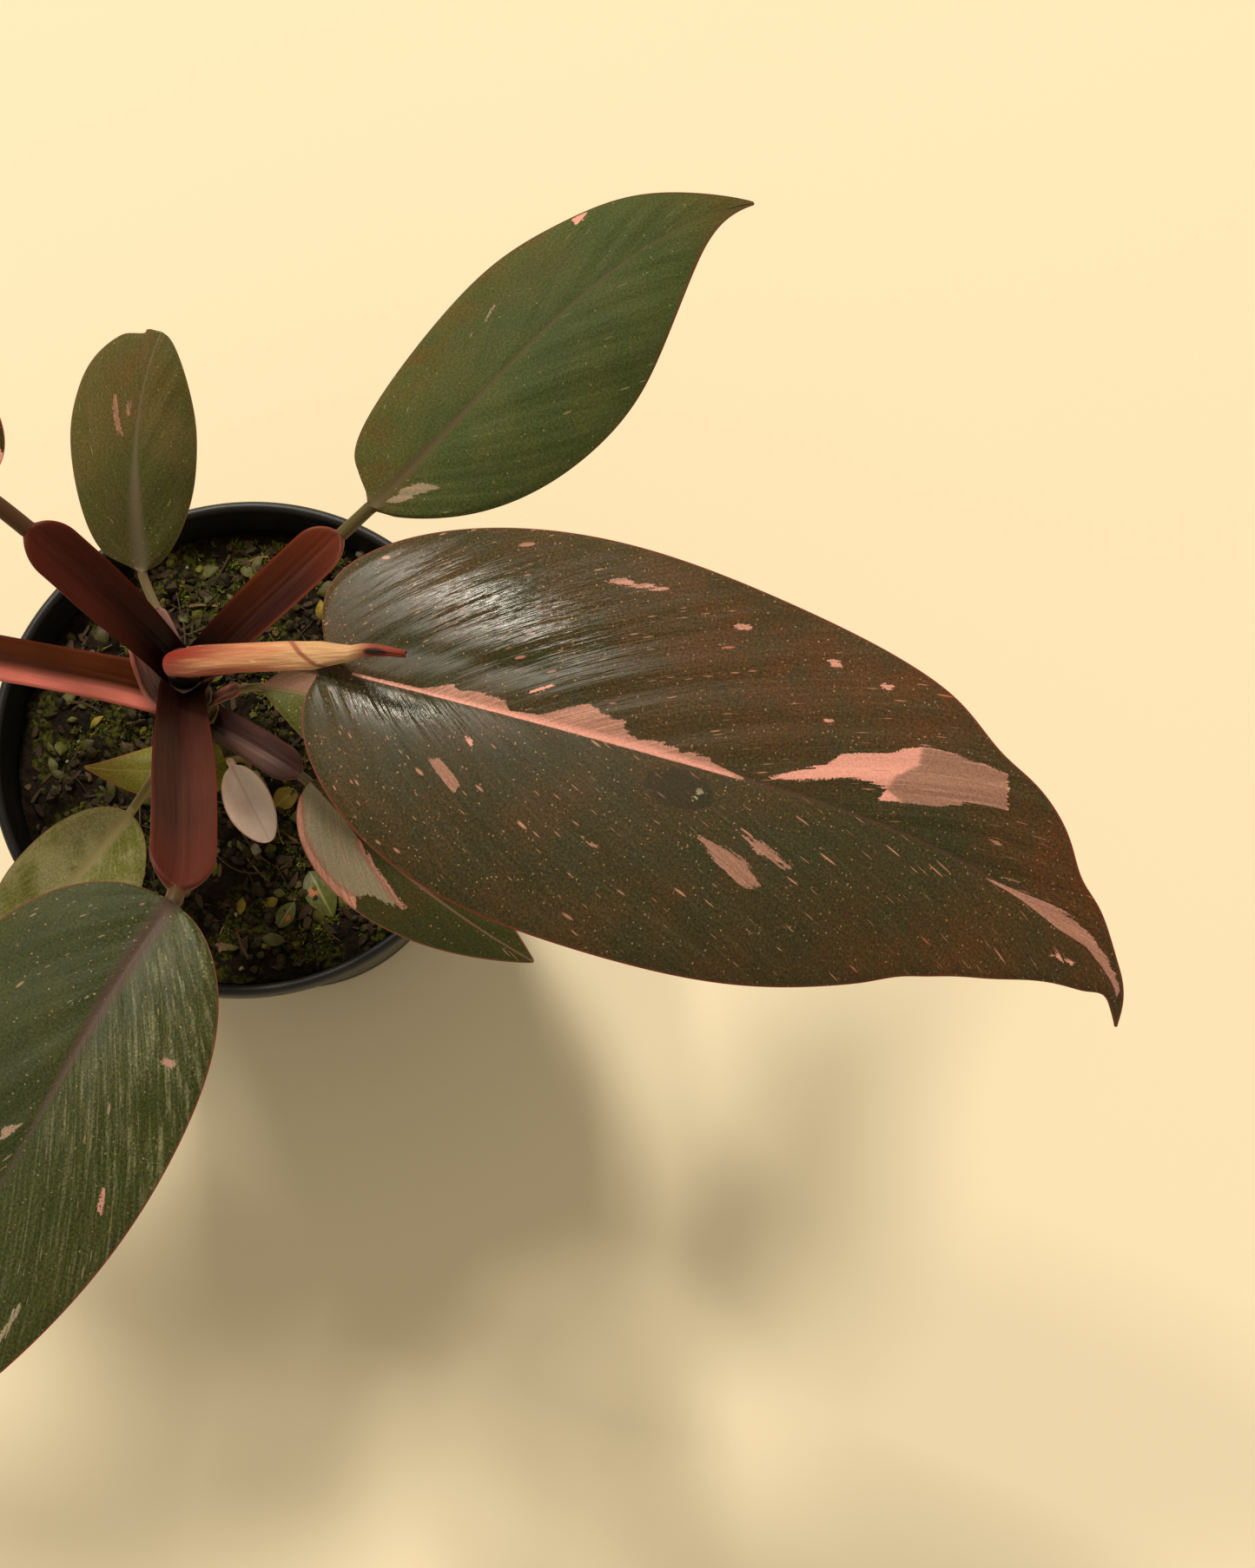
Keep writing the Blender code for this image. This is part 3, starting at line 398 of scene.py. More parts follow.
SKINS = {
    "leaf_right_large": Skin(
        **DARK | dict(rib_share=0.35),
        marks=(
            (.36, ((6, -.3), (6, .3), (20, .6), (25, 2.8), (27, 2.1), (31, 2.6), (36, 2.1), (37, .6),
                    (42.5, 1.3), (48, 4.6), (50.8, 5.8), (52, 4.4), (55, 4.2), (55, 3.3), (58, 4.3),
                    (59, 2.4), (61.5, 1.7), (66, 2.8), (66.5, 1.8), (68.5, 2.2), (69, 1.3), (74.8, 2.2),
                    (75.5, 1.2), (82, .2), (82, -.5), (57, -.6), (30, -.4))),
            (.36, ((43.5, 1.6), (48, 4.5), (50.8, 5.8), (55, 4.2), (58, 4.3), (58, 2.6), (50, 1.6))),
            (.12, ((8, -.3), (8, .2), (40, .6), (62, 1.0), (80, .3), (80, -.5), (40, -.5))),
            (PINK, ((85.5, .9), (91, 4.3), (96, 7.5), (98, 9.8), (105, 12.5), (111.5, 17), (118, 17.8),
                    (127, 18.6), (129.5, 12.5), (122.5, 10.3), (117.5, 6.9), (107, 3.8), (107.4, 6.6),
                    (102, 6.3), (92, 2.5))),
            (GREY_PINK, ((111.2, 16.9), (111.8, 13), (108.5, 9.5), (107.6, 6.6), (111.5, 5.2), (117.5, 6.9),
                         (122.5, 10.3), (129.5, 12.5), (127, 18.6), (118, 17.8))),
            (GREY_PINK, ((75.5, -12.6), (81.5, -13.4), (86.5, -15), (90, -17.8), (90, -19.4), (86.4, -19.4),
                         (80, -16))),
            (GREY_PINK, ((83, -9.8), (88.3, -10.6), (95.1, -13.4), (94.5, -14.2), (87.6, -12.9))),
            (.55, ((25.2, -12), (27.4, -12), (30.8, -14), (32.4, -16), (31.8, -17.2), (27.6, -14.9))),
            (.35, ((129.5, -.8), (140, 1.1), (146, 2.5), (151, 3.3), (157.5, 3), (167, 1.4), (168, .2),
                   (156, .9), (149, -.4), (138, -.4))),
            (.35, ((46, 30.0), (50, 31.6), (56, 31.6), (62, 31.4), (56, 30.6), (50, 29.8))),
            (.3, ((72.5, 28.4), (76, 29.2), (76.2, 27.8), (73, 27.4))),
            (.25, ((91, 26.9), (93.6, 27.4), (94.4, 25.8), (92, 25.4))),
            (.25, ((101, 26), (104, 26.4), (103.6, 25), (101.4, 24.8))),
            (.2, ((92.6, 15.6), (95.2, 15.8), (95, 14.6), (93, 14.6))),
            (PINK, ((39.4, 4.7), (43.4, 7.3), (43.8, 6.4), (40.4, 4.2))),
            (.2, ((30.7, -6.3), (32.5, -6.3), (32.6, -8.4), (31.2, -7.4))),
            (GREY_PINK, ((56, -18.4), (60, -19.8), (60, -20.6), (56.4, -19.4))),
            (.45, ((25.5, -26.8), (28.8, -28.8), (28.4, -29.6), (25.8, -27.8))),
            (.45, ((127.8, 6.9), (131.4, 6.7), (131, 5.9), (128.2, 6.1))),
            (.1, ((151, -4.6), (156.4, -2.8), (156.2, -3.6), (151.4, -5.2))),
            # Two painted highlights: the glints of the drops on the wet spot, in the palest tone
            (PAINTED_GLINT, ((74, -4.3), (75.2, -4.4), (75.4, -5.4), (74.2, -5.6))),
            (PAINTED_GLINT, ((73.3, -6.3), (74.4, -6.2), (74.6, -7.1), (73.6, -7.4))),
        ),
        warm=((137, 10, 9, .8), (150, 9, 9, .8), (130, -18, 9, .7), (142, -15, 9, .6), (112, 27, 14, .7),
              (84, 22, 22, .6), (60, 24, 18, .3), (118, -22, 10, .5), (160, -2, 7, .7)),
        # Greener places; the five small spots along the crease are a painted shadow of the dry sheath
        cool_and_shadow=((112, -5, 18, .6), (96, -8, 14, .4), (50, 14, 12, .35), (66, -16, 14, .35), (26, -10, 12, .3),
              (10, 6.8, 4, .8), (17, 7.8, 4, .9), (25, 8.6, 4, .9), (33, 9.4, 4, .9), (40, 9.8, 4, .9)),
        fleck_share=0.17, speck_share=0.27, roughness=0.6, gloss=0.43, streaks=0.06,
        wet=(71, -5.4, 6.6, 3.8), fleck=rgb(206, 144, 116)),
    "leaf_front_large": Skin(
        **DARK | dict(blade=rgb(60, 64, 25), mottle=rgb(52, 58, 22), midrib=rgb(84, 64, 54),
                      wings=(rgb(78, 36, 26), rgb(52, 19, 11))),
        crown_shade_reach=0.6,
        marks=(
            (.8, ((50.2, -5.1), (47.4, -1.4), (50.3, -2.4), (52.8, -3.7))),
            (.9, ((25.6, -5.5), (20.6, -2.4), (21, -1.8), (25.8, -4.7))),
            (.7, ((25.3, 14.8), (25.3, 17.2), (26.8, 17.2), (26.8, 14.8))),
            (.3, ((51, 16.4), (55.8, 17.8), (55.4, 18.8), (51.2, 17.4))),
            (.9, ((82.5, 15.2), (74.6, 15), (74.6, 14), (82.5, 13.8))),
        ),
        cool_and_shadow=((50, 6, 20, .3), (70, -8, 18, .3)), warm=((108, -4, 14, .4),), band=(2.2, 0.42),
        fleck_share=0.06, speck_share=0.16, roughness=0.62, gloss=0.36, fleck=rgb(150, 138, 104),
        # Pale strands on one half only, fading along the blade: a painted sheen of that glossy half
        strand=rgb(164, 160, 126), streaks=0.95, rib_share=0.4, one_sided_sheen=True),
    "leaf_back_right": Skin(
        **DARK | dict(blade=rgb(78, 84, 42), mottle=rgb(68, 79, 38), midrib=rgb(90, 78, 52),
                      margin=rgb(96, 58, 34), under=rgb(94, 88, 58), wings=(rgb(82, 34, 12), rgb(50, 16, 8)),
                      wing_rim=rgb(124, 50, 20), groove=rgb(104, 62, 52)),
        marks=(
            (.85, ((2, -1.7), (7.1, -2.1), (11.2, -3.8), (13.4, -7.4), (8.3, -5.3), (4.2, -3.1))),
            (.15, ((73.3, 14.8), (74.2, 17.5), (77.5, 15.8), (75.2, 13.8))),
            (.8, ((43.9, 10.1), (48.9, 11.9), (48.5, 12.7), (43.7, 10.9))),
        ),
        warm=((10, 15, 9, .6), (28, 17.5, 9, .6), (46, 20, 9, .6), (62, 19, 9, .6), (3, 2, 8, .6),
              (104, 0, 12, .6)),
        cool_and_shadow=((60, -3, 24, .35), (84, 1, 12, .3)), band=(1.6, 0.4),
        fleck_share=0.02, speck_share=0.06, roughness=0.64, fleck=rgb(150, 142, 108), tooth=0.6),
    "leaf_back_left_large": Skin(
        **DARK | dict(margin=rgb(150, 62, 50), midrib=rgb(170, 96, 84),
                      wings=(rgb(76, 24, 8), rgb(66, 20, 6))),
        marks=(
            (PINK, ((-2, -.6), (-1, -8), (6, -14), (16, -14), (12, -6), (4, -.6))),
            (PINK, ((-4, .6), (-3, 8), (4, 14), (16, 15), (26, 9), (44, 10), (52, 5), (70, 4), (84, 1),
                    (84, .2), (10, .2))),
            (0.3, ((34, 19), (46, 21), (60, 19), (66, 15), (52, 14), (40, 16))),
            (GREY_PINK, ((28, -8), (42, -14), (54, -20), (60, -19), (50, -11), (36, -5))),
            (PINK, ((78, -6), (88, -9), (98, -9), (92, -4), (84, -3))),
        ),
        warm=((90, 12, 14, .6),), cool_and_shadow=((50, -6, 20, .5),), roughness=0.30),
    "leaf_left_large": Skin(
        # This stalk's bright pink left wing is partly its own pink and partly painted light on its lit side
        **DARK | dict(blade=rgb(58, 52, 20), wings=(rgb(226, 126, 112), rgb(116, 60, 30)),
                      wing_rim=rgb(140, 66, 48), groove=rgb(122, 78, 72), wing_split=0.9, crown_shade_reach=0.22),
        marks=(
            (GREY_PINK, ((18, .3), (30, -3), (46, -10), (62, -16), (70, -14), (60, -6), (48, -2), (34, .3))),
            (PINK, ((58, .3), (66, 4), (78, 9), (86, 9), (80, 4), (90, 2), (98, .3))),
            (PINK, ((26, 12), (34, 16), (40, 16), (34, 11))),
            (0.8, ((80, -8), (92, -9), (96, -7), (86, -5))),
        ),
        warm=((94, -4, 12, .6),), cool_and_shadow=((40, 8, 18, .5),), roughness=0.30),
    "leaf_back_small": Skin(
        slot="green_leaf", blade=rgb(97, 88, 48), mottle=rgb(84, 84, 40), midrib=rgb(116, 106, 84),
        margin=rgb(118, 84, 52), under=rgb(120, 112, 80), wings=(rgb(136, 104, 94), rgb(126, 92, 84)),
        wing_rim=rgb(140, 96, 84), groove=rgb(144, 118, 106),
        marks=((0.55, ((28.8, 2.8), (33, 4.2), (37.2, 5.4), (37.4, 6.4), (33, 5.6), (28.8, 4.0))),
               (0.5, ((33, 1.8), (36.5, 1.8), (36.6, 2.9), (33.2, 2.8)))),
        cool_and_shadow=((9, 4, 9, .6), (14, -5, 10, .4)), warm=((44, 3, 12, .5),), band=(1.8, 0.7),
        fleck_share=0.03, speck_share=0.10, roughness=0.64, fleck=rgb(160, 142, 104),
        streaks=0.12, tooth=0.5),
    "leaf_front_left_pale": Skin(
        slot="pale_leaf", blade=rgb(104, 106, 34), mottle=rgb(160, 156, 108), midrib=rgb(160, 146, 100),
        margin=rgb(140, 108, 66), under=rgb(140, 138, 92), wings=(rgb(172, 130, 112), rgb(164, 122, 104)),
        wing_rim=rgb(176, 126, 104), groove=rgb(176, 148, 124),
        cool_and_shadow=((38, 0, 12, .4), (12, 6, 7, .3)), band=(1.6, 0.8),
        fleck_share=0.06, speck_share=0.20, fleck=rgb(176, 164, 112), tooth=0.5,
        strand=rgb(196, 192, 148), streaks=0.6),
    "leaf_lower_right": Skin(
        **DARK | dict(slot="green_leaf", blade=rgb(70, 62, 30), mottle=rgb(62, 64, 32),
                      midrib=rgb(140, 104, 90), margin=rgb(132, 84, 62), under=rgb(110, 96, 66),
                      wings=(rgb(74, 48, 44), rgb(112, 78, 72)), wing_rim=rgb(84, 48, 40),
                      groove=rgb(134, 104, 98)),
        marks=(
            (0.95, ((-1, .4), (10, .2), (17, -1), (25, -3.4), (33, -5.8), (30, -7.4), (27, -7.6),
                    (22, -11.6), (8, -10), (-1, -5))),
            (0.3, ((.3, -2.2), (2.7, -4.5), (7, -7.8), (12.2, -9.8), (18, -10.8), (24, -10.4), (26, -12.8),
                   (16, -13), (7, -10.6), (0, -6))),
            (0.3, ((16, -.7), (25, -3), (34, -5.4), (33.4, -6.6), (25, -4.4), (16.4, -2.1))),
        ),
        cool_and_shadow=((50, 0, 12, .4),), fleck_share=0.04, speck_share=0.14, tooth=0.6),
    "leaf_inner_right": Skin(
        slot="green_leaf", blade=rgb(96, 96, 46), mottle=rgb(84, 88, 40), midrib=rgb(150, 122, 92),
        margin=rgb(140, 92, 72), under=rgb(120, 112, 76), wings=(rgb(142, 88, 78), rgb(130, 76, 68)),
        wing_rim=rgb(150, 88, 76), groove=rgb(150, 110, 98),
        marks=((0.7, ((-1, .2), (20, .4), (36, 2), (44, 4), (34, 12), (16, 13), (2, 10))),),
        fleck_share=0.04, speck_share=0.10, tooth=0.5),
    "leaf_pale_tiny": Skin(
        slot="pink_leaf", blade=rgb(255, 238, 230), mottle=rgb(250, 222, 212), midrib=rgb(226, 196, 180),
        margin=rgb(206, 158, 142), under=rgb(196, 150, 138), wings=(rgb(190, 150, 134), rgb(184, 142, 128)),
        wing_rim=rgb(190, 140, 124), groove=rgb(200, 170, 150),
        fleck_share=0.02, speck_share=0.04, fleck=rgb(200, 164, 146),
        streaks=0.05, tooth=0.15),
    "leaf_green_tiny": Skin(
        slot="green_leaf", blade=rgb(104, 106, 34), mottle=rgb(118, 116, 42), midrib=rgb(136, 128, 62),
        margin=rgb(150, 88, 56), under=rgb(108, 108, 60), wings=(rgb(160, 124, 100), rgb(150, 112, 92)),
        wing_rim=rgb(160, 104, 86), groove=rgb(160, 140, 104),
        warm=((31, 0, 5, 1.0), (26, 0, 5, .6)),
        fleck_share=0.02, speck_share=0.06, roughness=0.45, tooth=0.5),
}


@dataclass
class Sheath:
    """A papery sheath along a Bezier curve, in millimetres. A hood's edges turn down."""

    name: str
    slot: str
    path: tuple
    widths: tuple
    hood: float
    tip_curl: float
    twist: tuple
    grid: tuple


SHEATHS = [
    Sheath("dry_sheath_peach", "dry_sheath",
           ((-3.6, -3.4, 194.6), (4, -7, 210), (29.3, -14, 240), (49.6, -17, 246)),
           (5.4, 6.6, 6.4, 6, 5.8, 5.5, 2.7, 0.8), -0.5, 2.6, (0, -8), (150, 22)),
    Sheath("young_sheath_left", "young_sheath",
           ((-5.5, -5.1, 168), (-10.5, -9, 169.5), (-12, -2.6, 175), (-14.2, 5.4, 181)),
           (4, 6.4, 6.6, 5, 1.4), 0.5, 0, (40, 50), (80, 16)),
]


def settings():
    """The settings groups of this scene."""
    return bpy.context.scene.philodendron


def ease(x):
    """Smooth step from 0 to 1."""
    x = np.clip(x, 0, 1)
    return x * x * (3 - 2 * x)


def bell(x):
    """A bell curve: 1 at 0, falling as e to the minus square."""
    return np.exp(-(x**2))


def between(ends, share):
    """The value at a share of the way from the first end to the second."""
    return ends[0] + (ends[1] - ends[0]) * share


def unit(vectors):
    """Rows of vectors scaled to length 1."""
    return vectors / np.linalg.norm(vectors, axis=-1, keepdims=True)


def path_at(path, run, at):
    """Points of a path at places along its run."""
    return np.stack([np.interp(at, run, path[:, k]) for k in range(3)], -1)


# Mesh helpers


def add_thing(name, data):
    """A new object of the scene."""
    thing = bpy.data.objects.new(name, data)
    bpy.context.scene.collection.objects.link(thing)
    return thing


def new_object(name, points, faces, materials, values=None, slots=None, sharp=40.0):
    """A smooth mesh object at the origin from points in millimetres and a list of face index arrays.

    values holds named point attributes: one number or three numbers for each point.
    """
    mesh = bpy.data.meshes.new(name)
    rows = [row for array in faces for row in array.tolist()]
    mesh.from_pydata((points * MM).tolist(), [], rows)
    for material in materials:
        mesh.materials.append(material)
    if slots is not None:
        mesh.polygons.foreach_set("material_index", slots.astype(np.int32))
    for key, value in (values or {}).items():
        wide = value.ndim == 2
        layer = mesh.attributes.new(key, "FLOAT_VECTOR" if wide else "FLOAT", "POINT")
        layer.data.foreach_set("vector" if wide else "value", value.astype(np.float32).ravel())
    mesh.update()
    mesh.shade_smooth()
    mesh.set_sharp_from_angle(angle=math.radians(sharp))
    return add_thing(name, mesh)


def grid_quads(rows, columns, start=0, wrap=False):
    """Faces of a grid of points numbered row by row; wrap joins its last column to its first."""
    index = start + np.arange(rows * columns).reshape(rows, columns)
    if wrap:
        index = np.concatenate([index, index[:, :1]], 1)
    return np.stack([index[:-1, :-1], index[1:, :-1], index[1:, 1:], index[:-1, 1:]], -1).reshape(-1, 4)


def fan(apex, ring):
    """Triangles from one point to each side of a ring of points."""
    return np.stack([np.full(len(ring), apex), ring, np.roll(ring, -1)], -1)


def closed_faces(rows, columns):
    """Faces of a closed body between an upper and a lower grid: the two grids and the ring between them."""
    count = rows * columns
    top = np.arange(count).reshape(rows, columns)
    upper = grid_quads(rows, columns)
    lower = grid_quads(rows, columns, count)[:, ::-1]
    ring = np.concatenate([top[:, 0], top[-1, 1:], top[-2::-1, -1], top[0, -2:0:-1]])
    after = np.roll(ring, -1)
    side = np.stack([ring, ring + count, after + count, after], -1)
    return upper, lower, side


def small_grid(rows, columns):
    """Shares along (0 to 1) and across (-1 to 1) a small leaf."""
    return np.meshgrid(np.linspace(0, 1, rows), np.linspace(-1, 1, columns), indexing="ij")


def thin_skin(x, y, z, half):
    """An upper and a lower grid, half a thickness above and below a middle surface."""
    return np.stack([x, y, z + half], -1), np.stack([x, y, z - half], -1)


def both_sides(upper, lower):
    """Points of an upper and a lower grid in one list."""
    return np.concatenate([upper.reshape(-1, 3), lower.reshape(-1, 3)])


def round_angles(count):
    """Angles of points spread evenly round a circle."""
    return 2 * np.pi * np.arange(count) / count


def ride_and_replace(piece, slot, *nodes):
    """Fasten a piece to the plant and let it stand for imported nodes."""
    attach(piece, "root")
    if nodes:
        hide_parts(*nodes)


def lattice_noise(x, y, size, seed):
    """Smooth random heights from -1 to 1: random values on a lattice, eased between its points."""
    values = np.random.default_rng(seed).uniform(-1, 1, (LATTICE, LATTICE))
    gx = x / size + LATTICE_SHIFT[0]
    gy = y / size + LATTICE_SHIFT[1]
    ix = np.floor(gx).astype(int)
    iy = np.floor(gy).astype(int)
    fx = ease(gx - ix)
    fy = ease(gy - iy)

    def row(k):
        first = values[ix % LATTICE, k % LATTICE]
        return first * (1 - fx) + values[(ix + 1) % LATTICE, k % LATTICE] * fx

    return row(iy) * (1 - fy) + row(iy + 1) * fy


# Leaf form


def stem_axis(height):
    """Middle of the stem at a height: its lean grows as the square of the share of the way up."""
    share = np.clip((height - SOIL_HEIGHT) / (STEM_TOP - SOIL_HEIGHT), 0, 1) ** 2
    x, y = (between(ends, share) for ends in zip(STEM_FOOT_PLACE, STEM_TOP_PLACE))
    return np.stack([x, y, height], -1)


def stem_radius(height):
    """Radius of the stem at a height."""
    share = np.clip((height - SOIL_HEIGHT) / (STEM_TOP - SOIL_HEIGHT), 0, 1)
    return between((STEM_FOOT_RADIUS, STEM_TIP_RADIUS), share)


def edge_outline(u, edge, drip):
    """A blade's edge at fractions u: how far along its length, and how far out of its half width.

    The width is a power of u times a power of 1 - u, scaled to 1 at its widest, with two added waves.
    """
    rise = edge.widest * edge.blunt
    fall = (1 - edge.widest) * edge.blunt
    peak = edge.widest**rise * (1 - edge.widest) ** fall
    out = u**rise * (1 - u) ** fall / peak
    out = out * (1 + edge.shoulder * np.sin(2 * np.pi * u) + edge.ripple * np.sin(3 * np.pi * u))
    for place, length, depth in edge.bays:
        out = out - depth * bell((u - place) / length)
    along = u**edge.lean * (1 - drip) + drip * u**14
    along = along - edge.lobe * 10 * u * np.exp(1 - 10 * u)
    return along, out


def frames(tangents, turn, roll):
    """Sideways and upward directions across a path that faces turn, rolled by an angle in radians."""
    side = np.stack([-np.sin(turn), np.cos(turn), np.zeros(len(tangents))], 1)
    side -= tangents * (side * tangents).sum(1, keepdims=True)
    side = unit(side)
    up = np.cross(tangents, side)
    turned = side * np.cos(roll)[:, None] + up * np.sin(roll)[:, None]
    return turned, np.cross(tangents, turned)


def direction(turn, rise):
    """Unit vectors from angles in degrees."""
    turn = np.radians(turn)
    rise = np.radians(rise)
    return np.stack([np.cos(rise) * np.cos(turn), np.cos(rise) * np.sin(turn), np.sin(rise)], -1)


def bezier(control, share):
    """Points and tangents of a Bezier curve at shares of its length, and its length."""
    p = [np.array(point, float) for point in control]
    s = np.linspace(0, 1, SPINE_STEPS + 1)[:, None]
    fine = (1 - s) ** 3 * p[0] + 3 * (1 - s) ** 2 * s * p[1] + 3 * (1 - s) * s**2 * p[2] + s**3 * p[3]
    slope = (1 - s) ** 2 * (p[1] - p[0]) + 2 * (1 - s) * s * (p[2] - p[1]) + s**2 * (p[3] - p[2])
    run = np.concatenate([[0], np.cumsum(np.linalg.norm(np.diff(fine, axis=0), axis=1))])
    at = share * run[-1]
    return path_at(fine, run, at), unit(path_at(slope, run, at)), run[-1]


def blade_spine(leaf, share):
    """Points and frames of the midrib at fractions of its length, which may run a little below 0."""
    fine = np.linspace(-SPINE_OVERRUN, 1, SPINE_STEPS + 1)
    on = np.clip(fine, 0, 1)
    turn = between(leaf.turn, on) + leaf.turn_bow * 4 * on * (1 - on)
    turn = turn + leaf.turn_sway * np.sin(2 * np.pi * on)
    turn = turn + leaf.tip_turn * ease((on - 0.93) / 0.07)
    rise = between(leaf.rise, on)
    roll = np.radians(between(leaf.roll, on))
    tangents = direction(turn, rise)
    step = (fine[1] - fine[0]) * leaf.length
    points = np.zeros_like(tangents)
    points[1:] = np.cumsum((tangents[1:] + tangents[:-1]) * 0.5 * step, 0)
    points = points - path_at(points, fine, 0.0) + np.array(leaf.base)
    side, up = frames(tangents, np.radians(turn), roll)
    return [path_at(values, fine, share) for values in (points, side, up)]


def vein_origin(length, x, y):
    """Where on the midrib the side vein through (x, y) starts.

    A vein runs forward by VEIN_SLOPE + VEIN_SWEEP * x / length for each millimetre outward, so its
    distance from a point behind the blade's base grows as an exponential of the distance out.
    """
    sweep = VEIN_SWEEP / length
    lead = VEIN_SLOPE / sweep
    return (x + lead) * np.exp(-sweep * np.abs(y)) - lead


def vein_relief(leaf, x, y, origin, edge):
    """Height of the skin between side veins.

    It is a rounded arch from vein to vein and a slower wave of the main veins, both fading at the midrib
    and at the rim, less a groove along the midrib, a rolled margin and a crease.
    """
    look = settings().leaves
    spacing = look.vein_spacing / MM * max(0.45, leaf.length / FULL_LENGTH) ** 0.5
    drift = 0.24 * np.sin(0.17 * y + 0.9 * np.sign(y)) + 0.20 * np.sin(0.29 * origin + 0.09 * y)
    arch = np.abs(np.sin(np.pi * (origin / spacing + drift)))
    swell = np.cos(2 * np.pi * (origin / (4.1 * spacing) + drift * 0.4))
    fade = (1 - bell(y / 2.4)) * ease(edge / 3.0)
    depth = look.vein_depth / MM
    for along, aside, length, width in leaf.gloss_places:
        depth = depth * (1 + 0.8 * np.exp(-(((x - along) / length) ** 2) - ((y - aside) / width) ** 2))
    groove = 0.30 * (1 - x / leaf.length).clip(0, 1) ** 0.6 * bell(y / 0.8)
    groove = groove * leaf.neck / FULL_NECK
    rolled = 0.3 * min(1.0, leaf.left / FULL_HALF_WIDTH) * bell(edge / 1.2)
    relief = depth * (arch + 1.5 * swell) * fade - groove * ease(x / (0.06 * leaf.length)) - rolled
    if leaf.crease:
        start, end, start_aside, end_aside, width, deep = leaf.crease
        share = (x - start) / (end - start)
        line = between((start_aside, end_aside), share)
        window = ease(share / 0.25) * ease((1.1 - share) / 0.3)
        relief = relief - deep * window * bell((y - line) / width)
    return relief


def blade_faces(leaf, u, w):
    """Upper and lower points of the blade for grids u (base to tip) and w (right edge to left edge).

    Each row runs from a point of the midrib forward to a point of the edge. The height across it is a
    fold up from the midrib, a droop that grows with the square of the distance, a wave of the edge and
    the relief of the veins. Also gives the place on the blade and the distance from the edge.
    """
    look = settings().leaves
    left_along, left_out = edge_outline(u, leaf.left_edge, leaf.drip)
    right_along, right_out = edge_outline(u, leaf.right_edge, leaf.drip)
    along = np.where(w >= 0, left_along, right_along)
    half = np.where(w >= 0, left_out * leaf.left, right_out * leaf.right)
    half = half + leaf.neck / 2 * (1 - u) + TIP_HALF_WIDTH * u
    start = u**1.15 * (0.62 + 0.38 * u)
    late = np.where(along < start, 1.5, 1 + 0.5 * ease(u / 0.2))
    x = start + (along - start) * np.abs(w) ** late
    y = half * w
    edge = half * (1 - np.abs(w))
    span = (leaf.left + leaf.right) / 2
    fold = math.tan(math.radians(leaf.fold))
    reach = np.sqrt(y**2 + FOLD_ROUNDING**2)
    droop = DROOP * np.where(w >= 0, leaf.droop_kept[0], leaf.droop_kept[1])
    height = fold * (reach - FOLD_ROUNDING) - droop * 4 * y**2 / span
    slope = (fold * y / reach - droop * 8 * y / span) * (1 - np.exp(-u / ROOT_BLEND))
    wave = np.sin(2 * np.pi * (2.6 * u + 0.21 * np.sign(w))) * np.sin(np.pi * u) * w**2
    height = height + leaf.ripple_height * wave
    origin = vein_origin(leaf.length, x * leaf.length, y)
    height = height + vein_relief(leaf, x * leaf.length, y, origin, edge)
    middle, side, up = (part.reshape(*u.shape, 3) for part in blade_spine(leaf, x.ravel()))
    middle = middle + side * y[..., None] + up * height[..., None]
    normal = unit(up - side * slope[..., None])
    half_thick = look.blade_thickness / MM / 2
    rim = look.rim_thickness / MM / 2
    dome = np.sqrt(np.clip(1 - (y / np.minimum(half, 0.8 * leaf.neck)) ** 2, 0, 1)) * leaf.neck / 2
    upper = half_thick + (dome - half_thick) * np.exp(-u / ROOT_BLEND)
    upper = np.maximum(upper, rim + (half_thick - rim) * ease(edge / 1.6))
    rib = RIB_DEPTH * (1 - u) ** 0.7 * bell(y / RIB_WIDTH) * (1 - np.exp(-u / ROOT_BLEND))
    lower = upper + rib * leaf.neck / FULL_NECK
    place = np.stack([x * leaf.length, y, origin], -1)
    return middle + normal * upper[..., None], middle - normal * lower[..., None], place, edge


def stalk_root(leaf):
    """Middle of a stalk's lower end, clear of the stem or the side shoot, and the way it leaves.

    A stalk leaves at root_rise, measured from straight out towards the way the stem runs.
    """
    away = direction(leaf.root_turn, 0)
    if leaf.on_shoot:
        axis = np.array([*SHOOT_PLACE, leaf.root_height])
        upward = np.array([0.0, 0.0, 1.0])
        radius = SHOOT_RADIUS
    else:
        axis = stem_axis(leaf.root_height)
        upward = stem_axis(leaf.root_height + 1.0) - axis
        radius = stem_radius(leaf.root_height)
    rise = math.radians(leaf.root_rise)
    heading = away * math.cos(rise) + upward * math.sin(rise)
    reach = radius + CLEARANCE + leaf.neck * ROOT_THICKNESS / 2 + 0.1
    return axis + away * reach, heading / np.linalg.norm(heading)


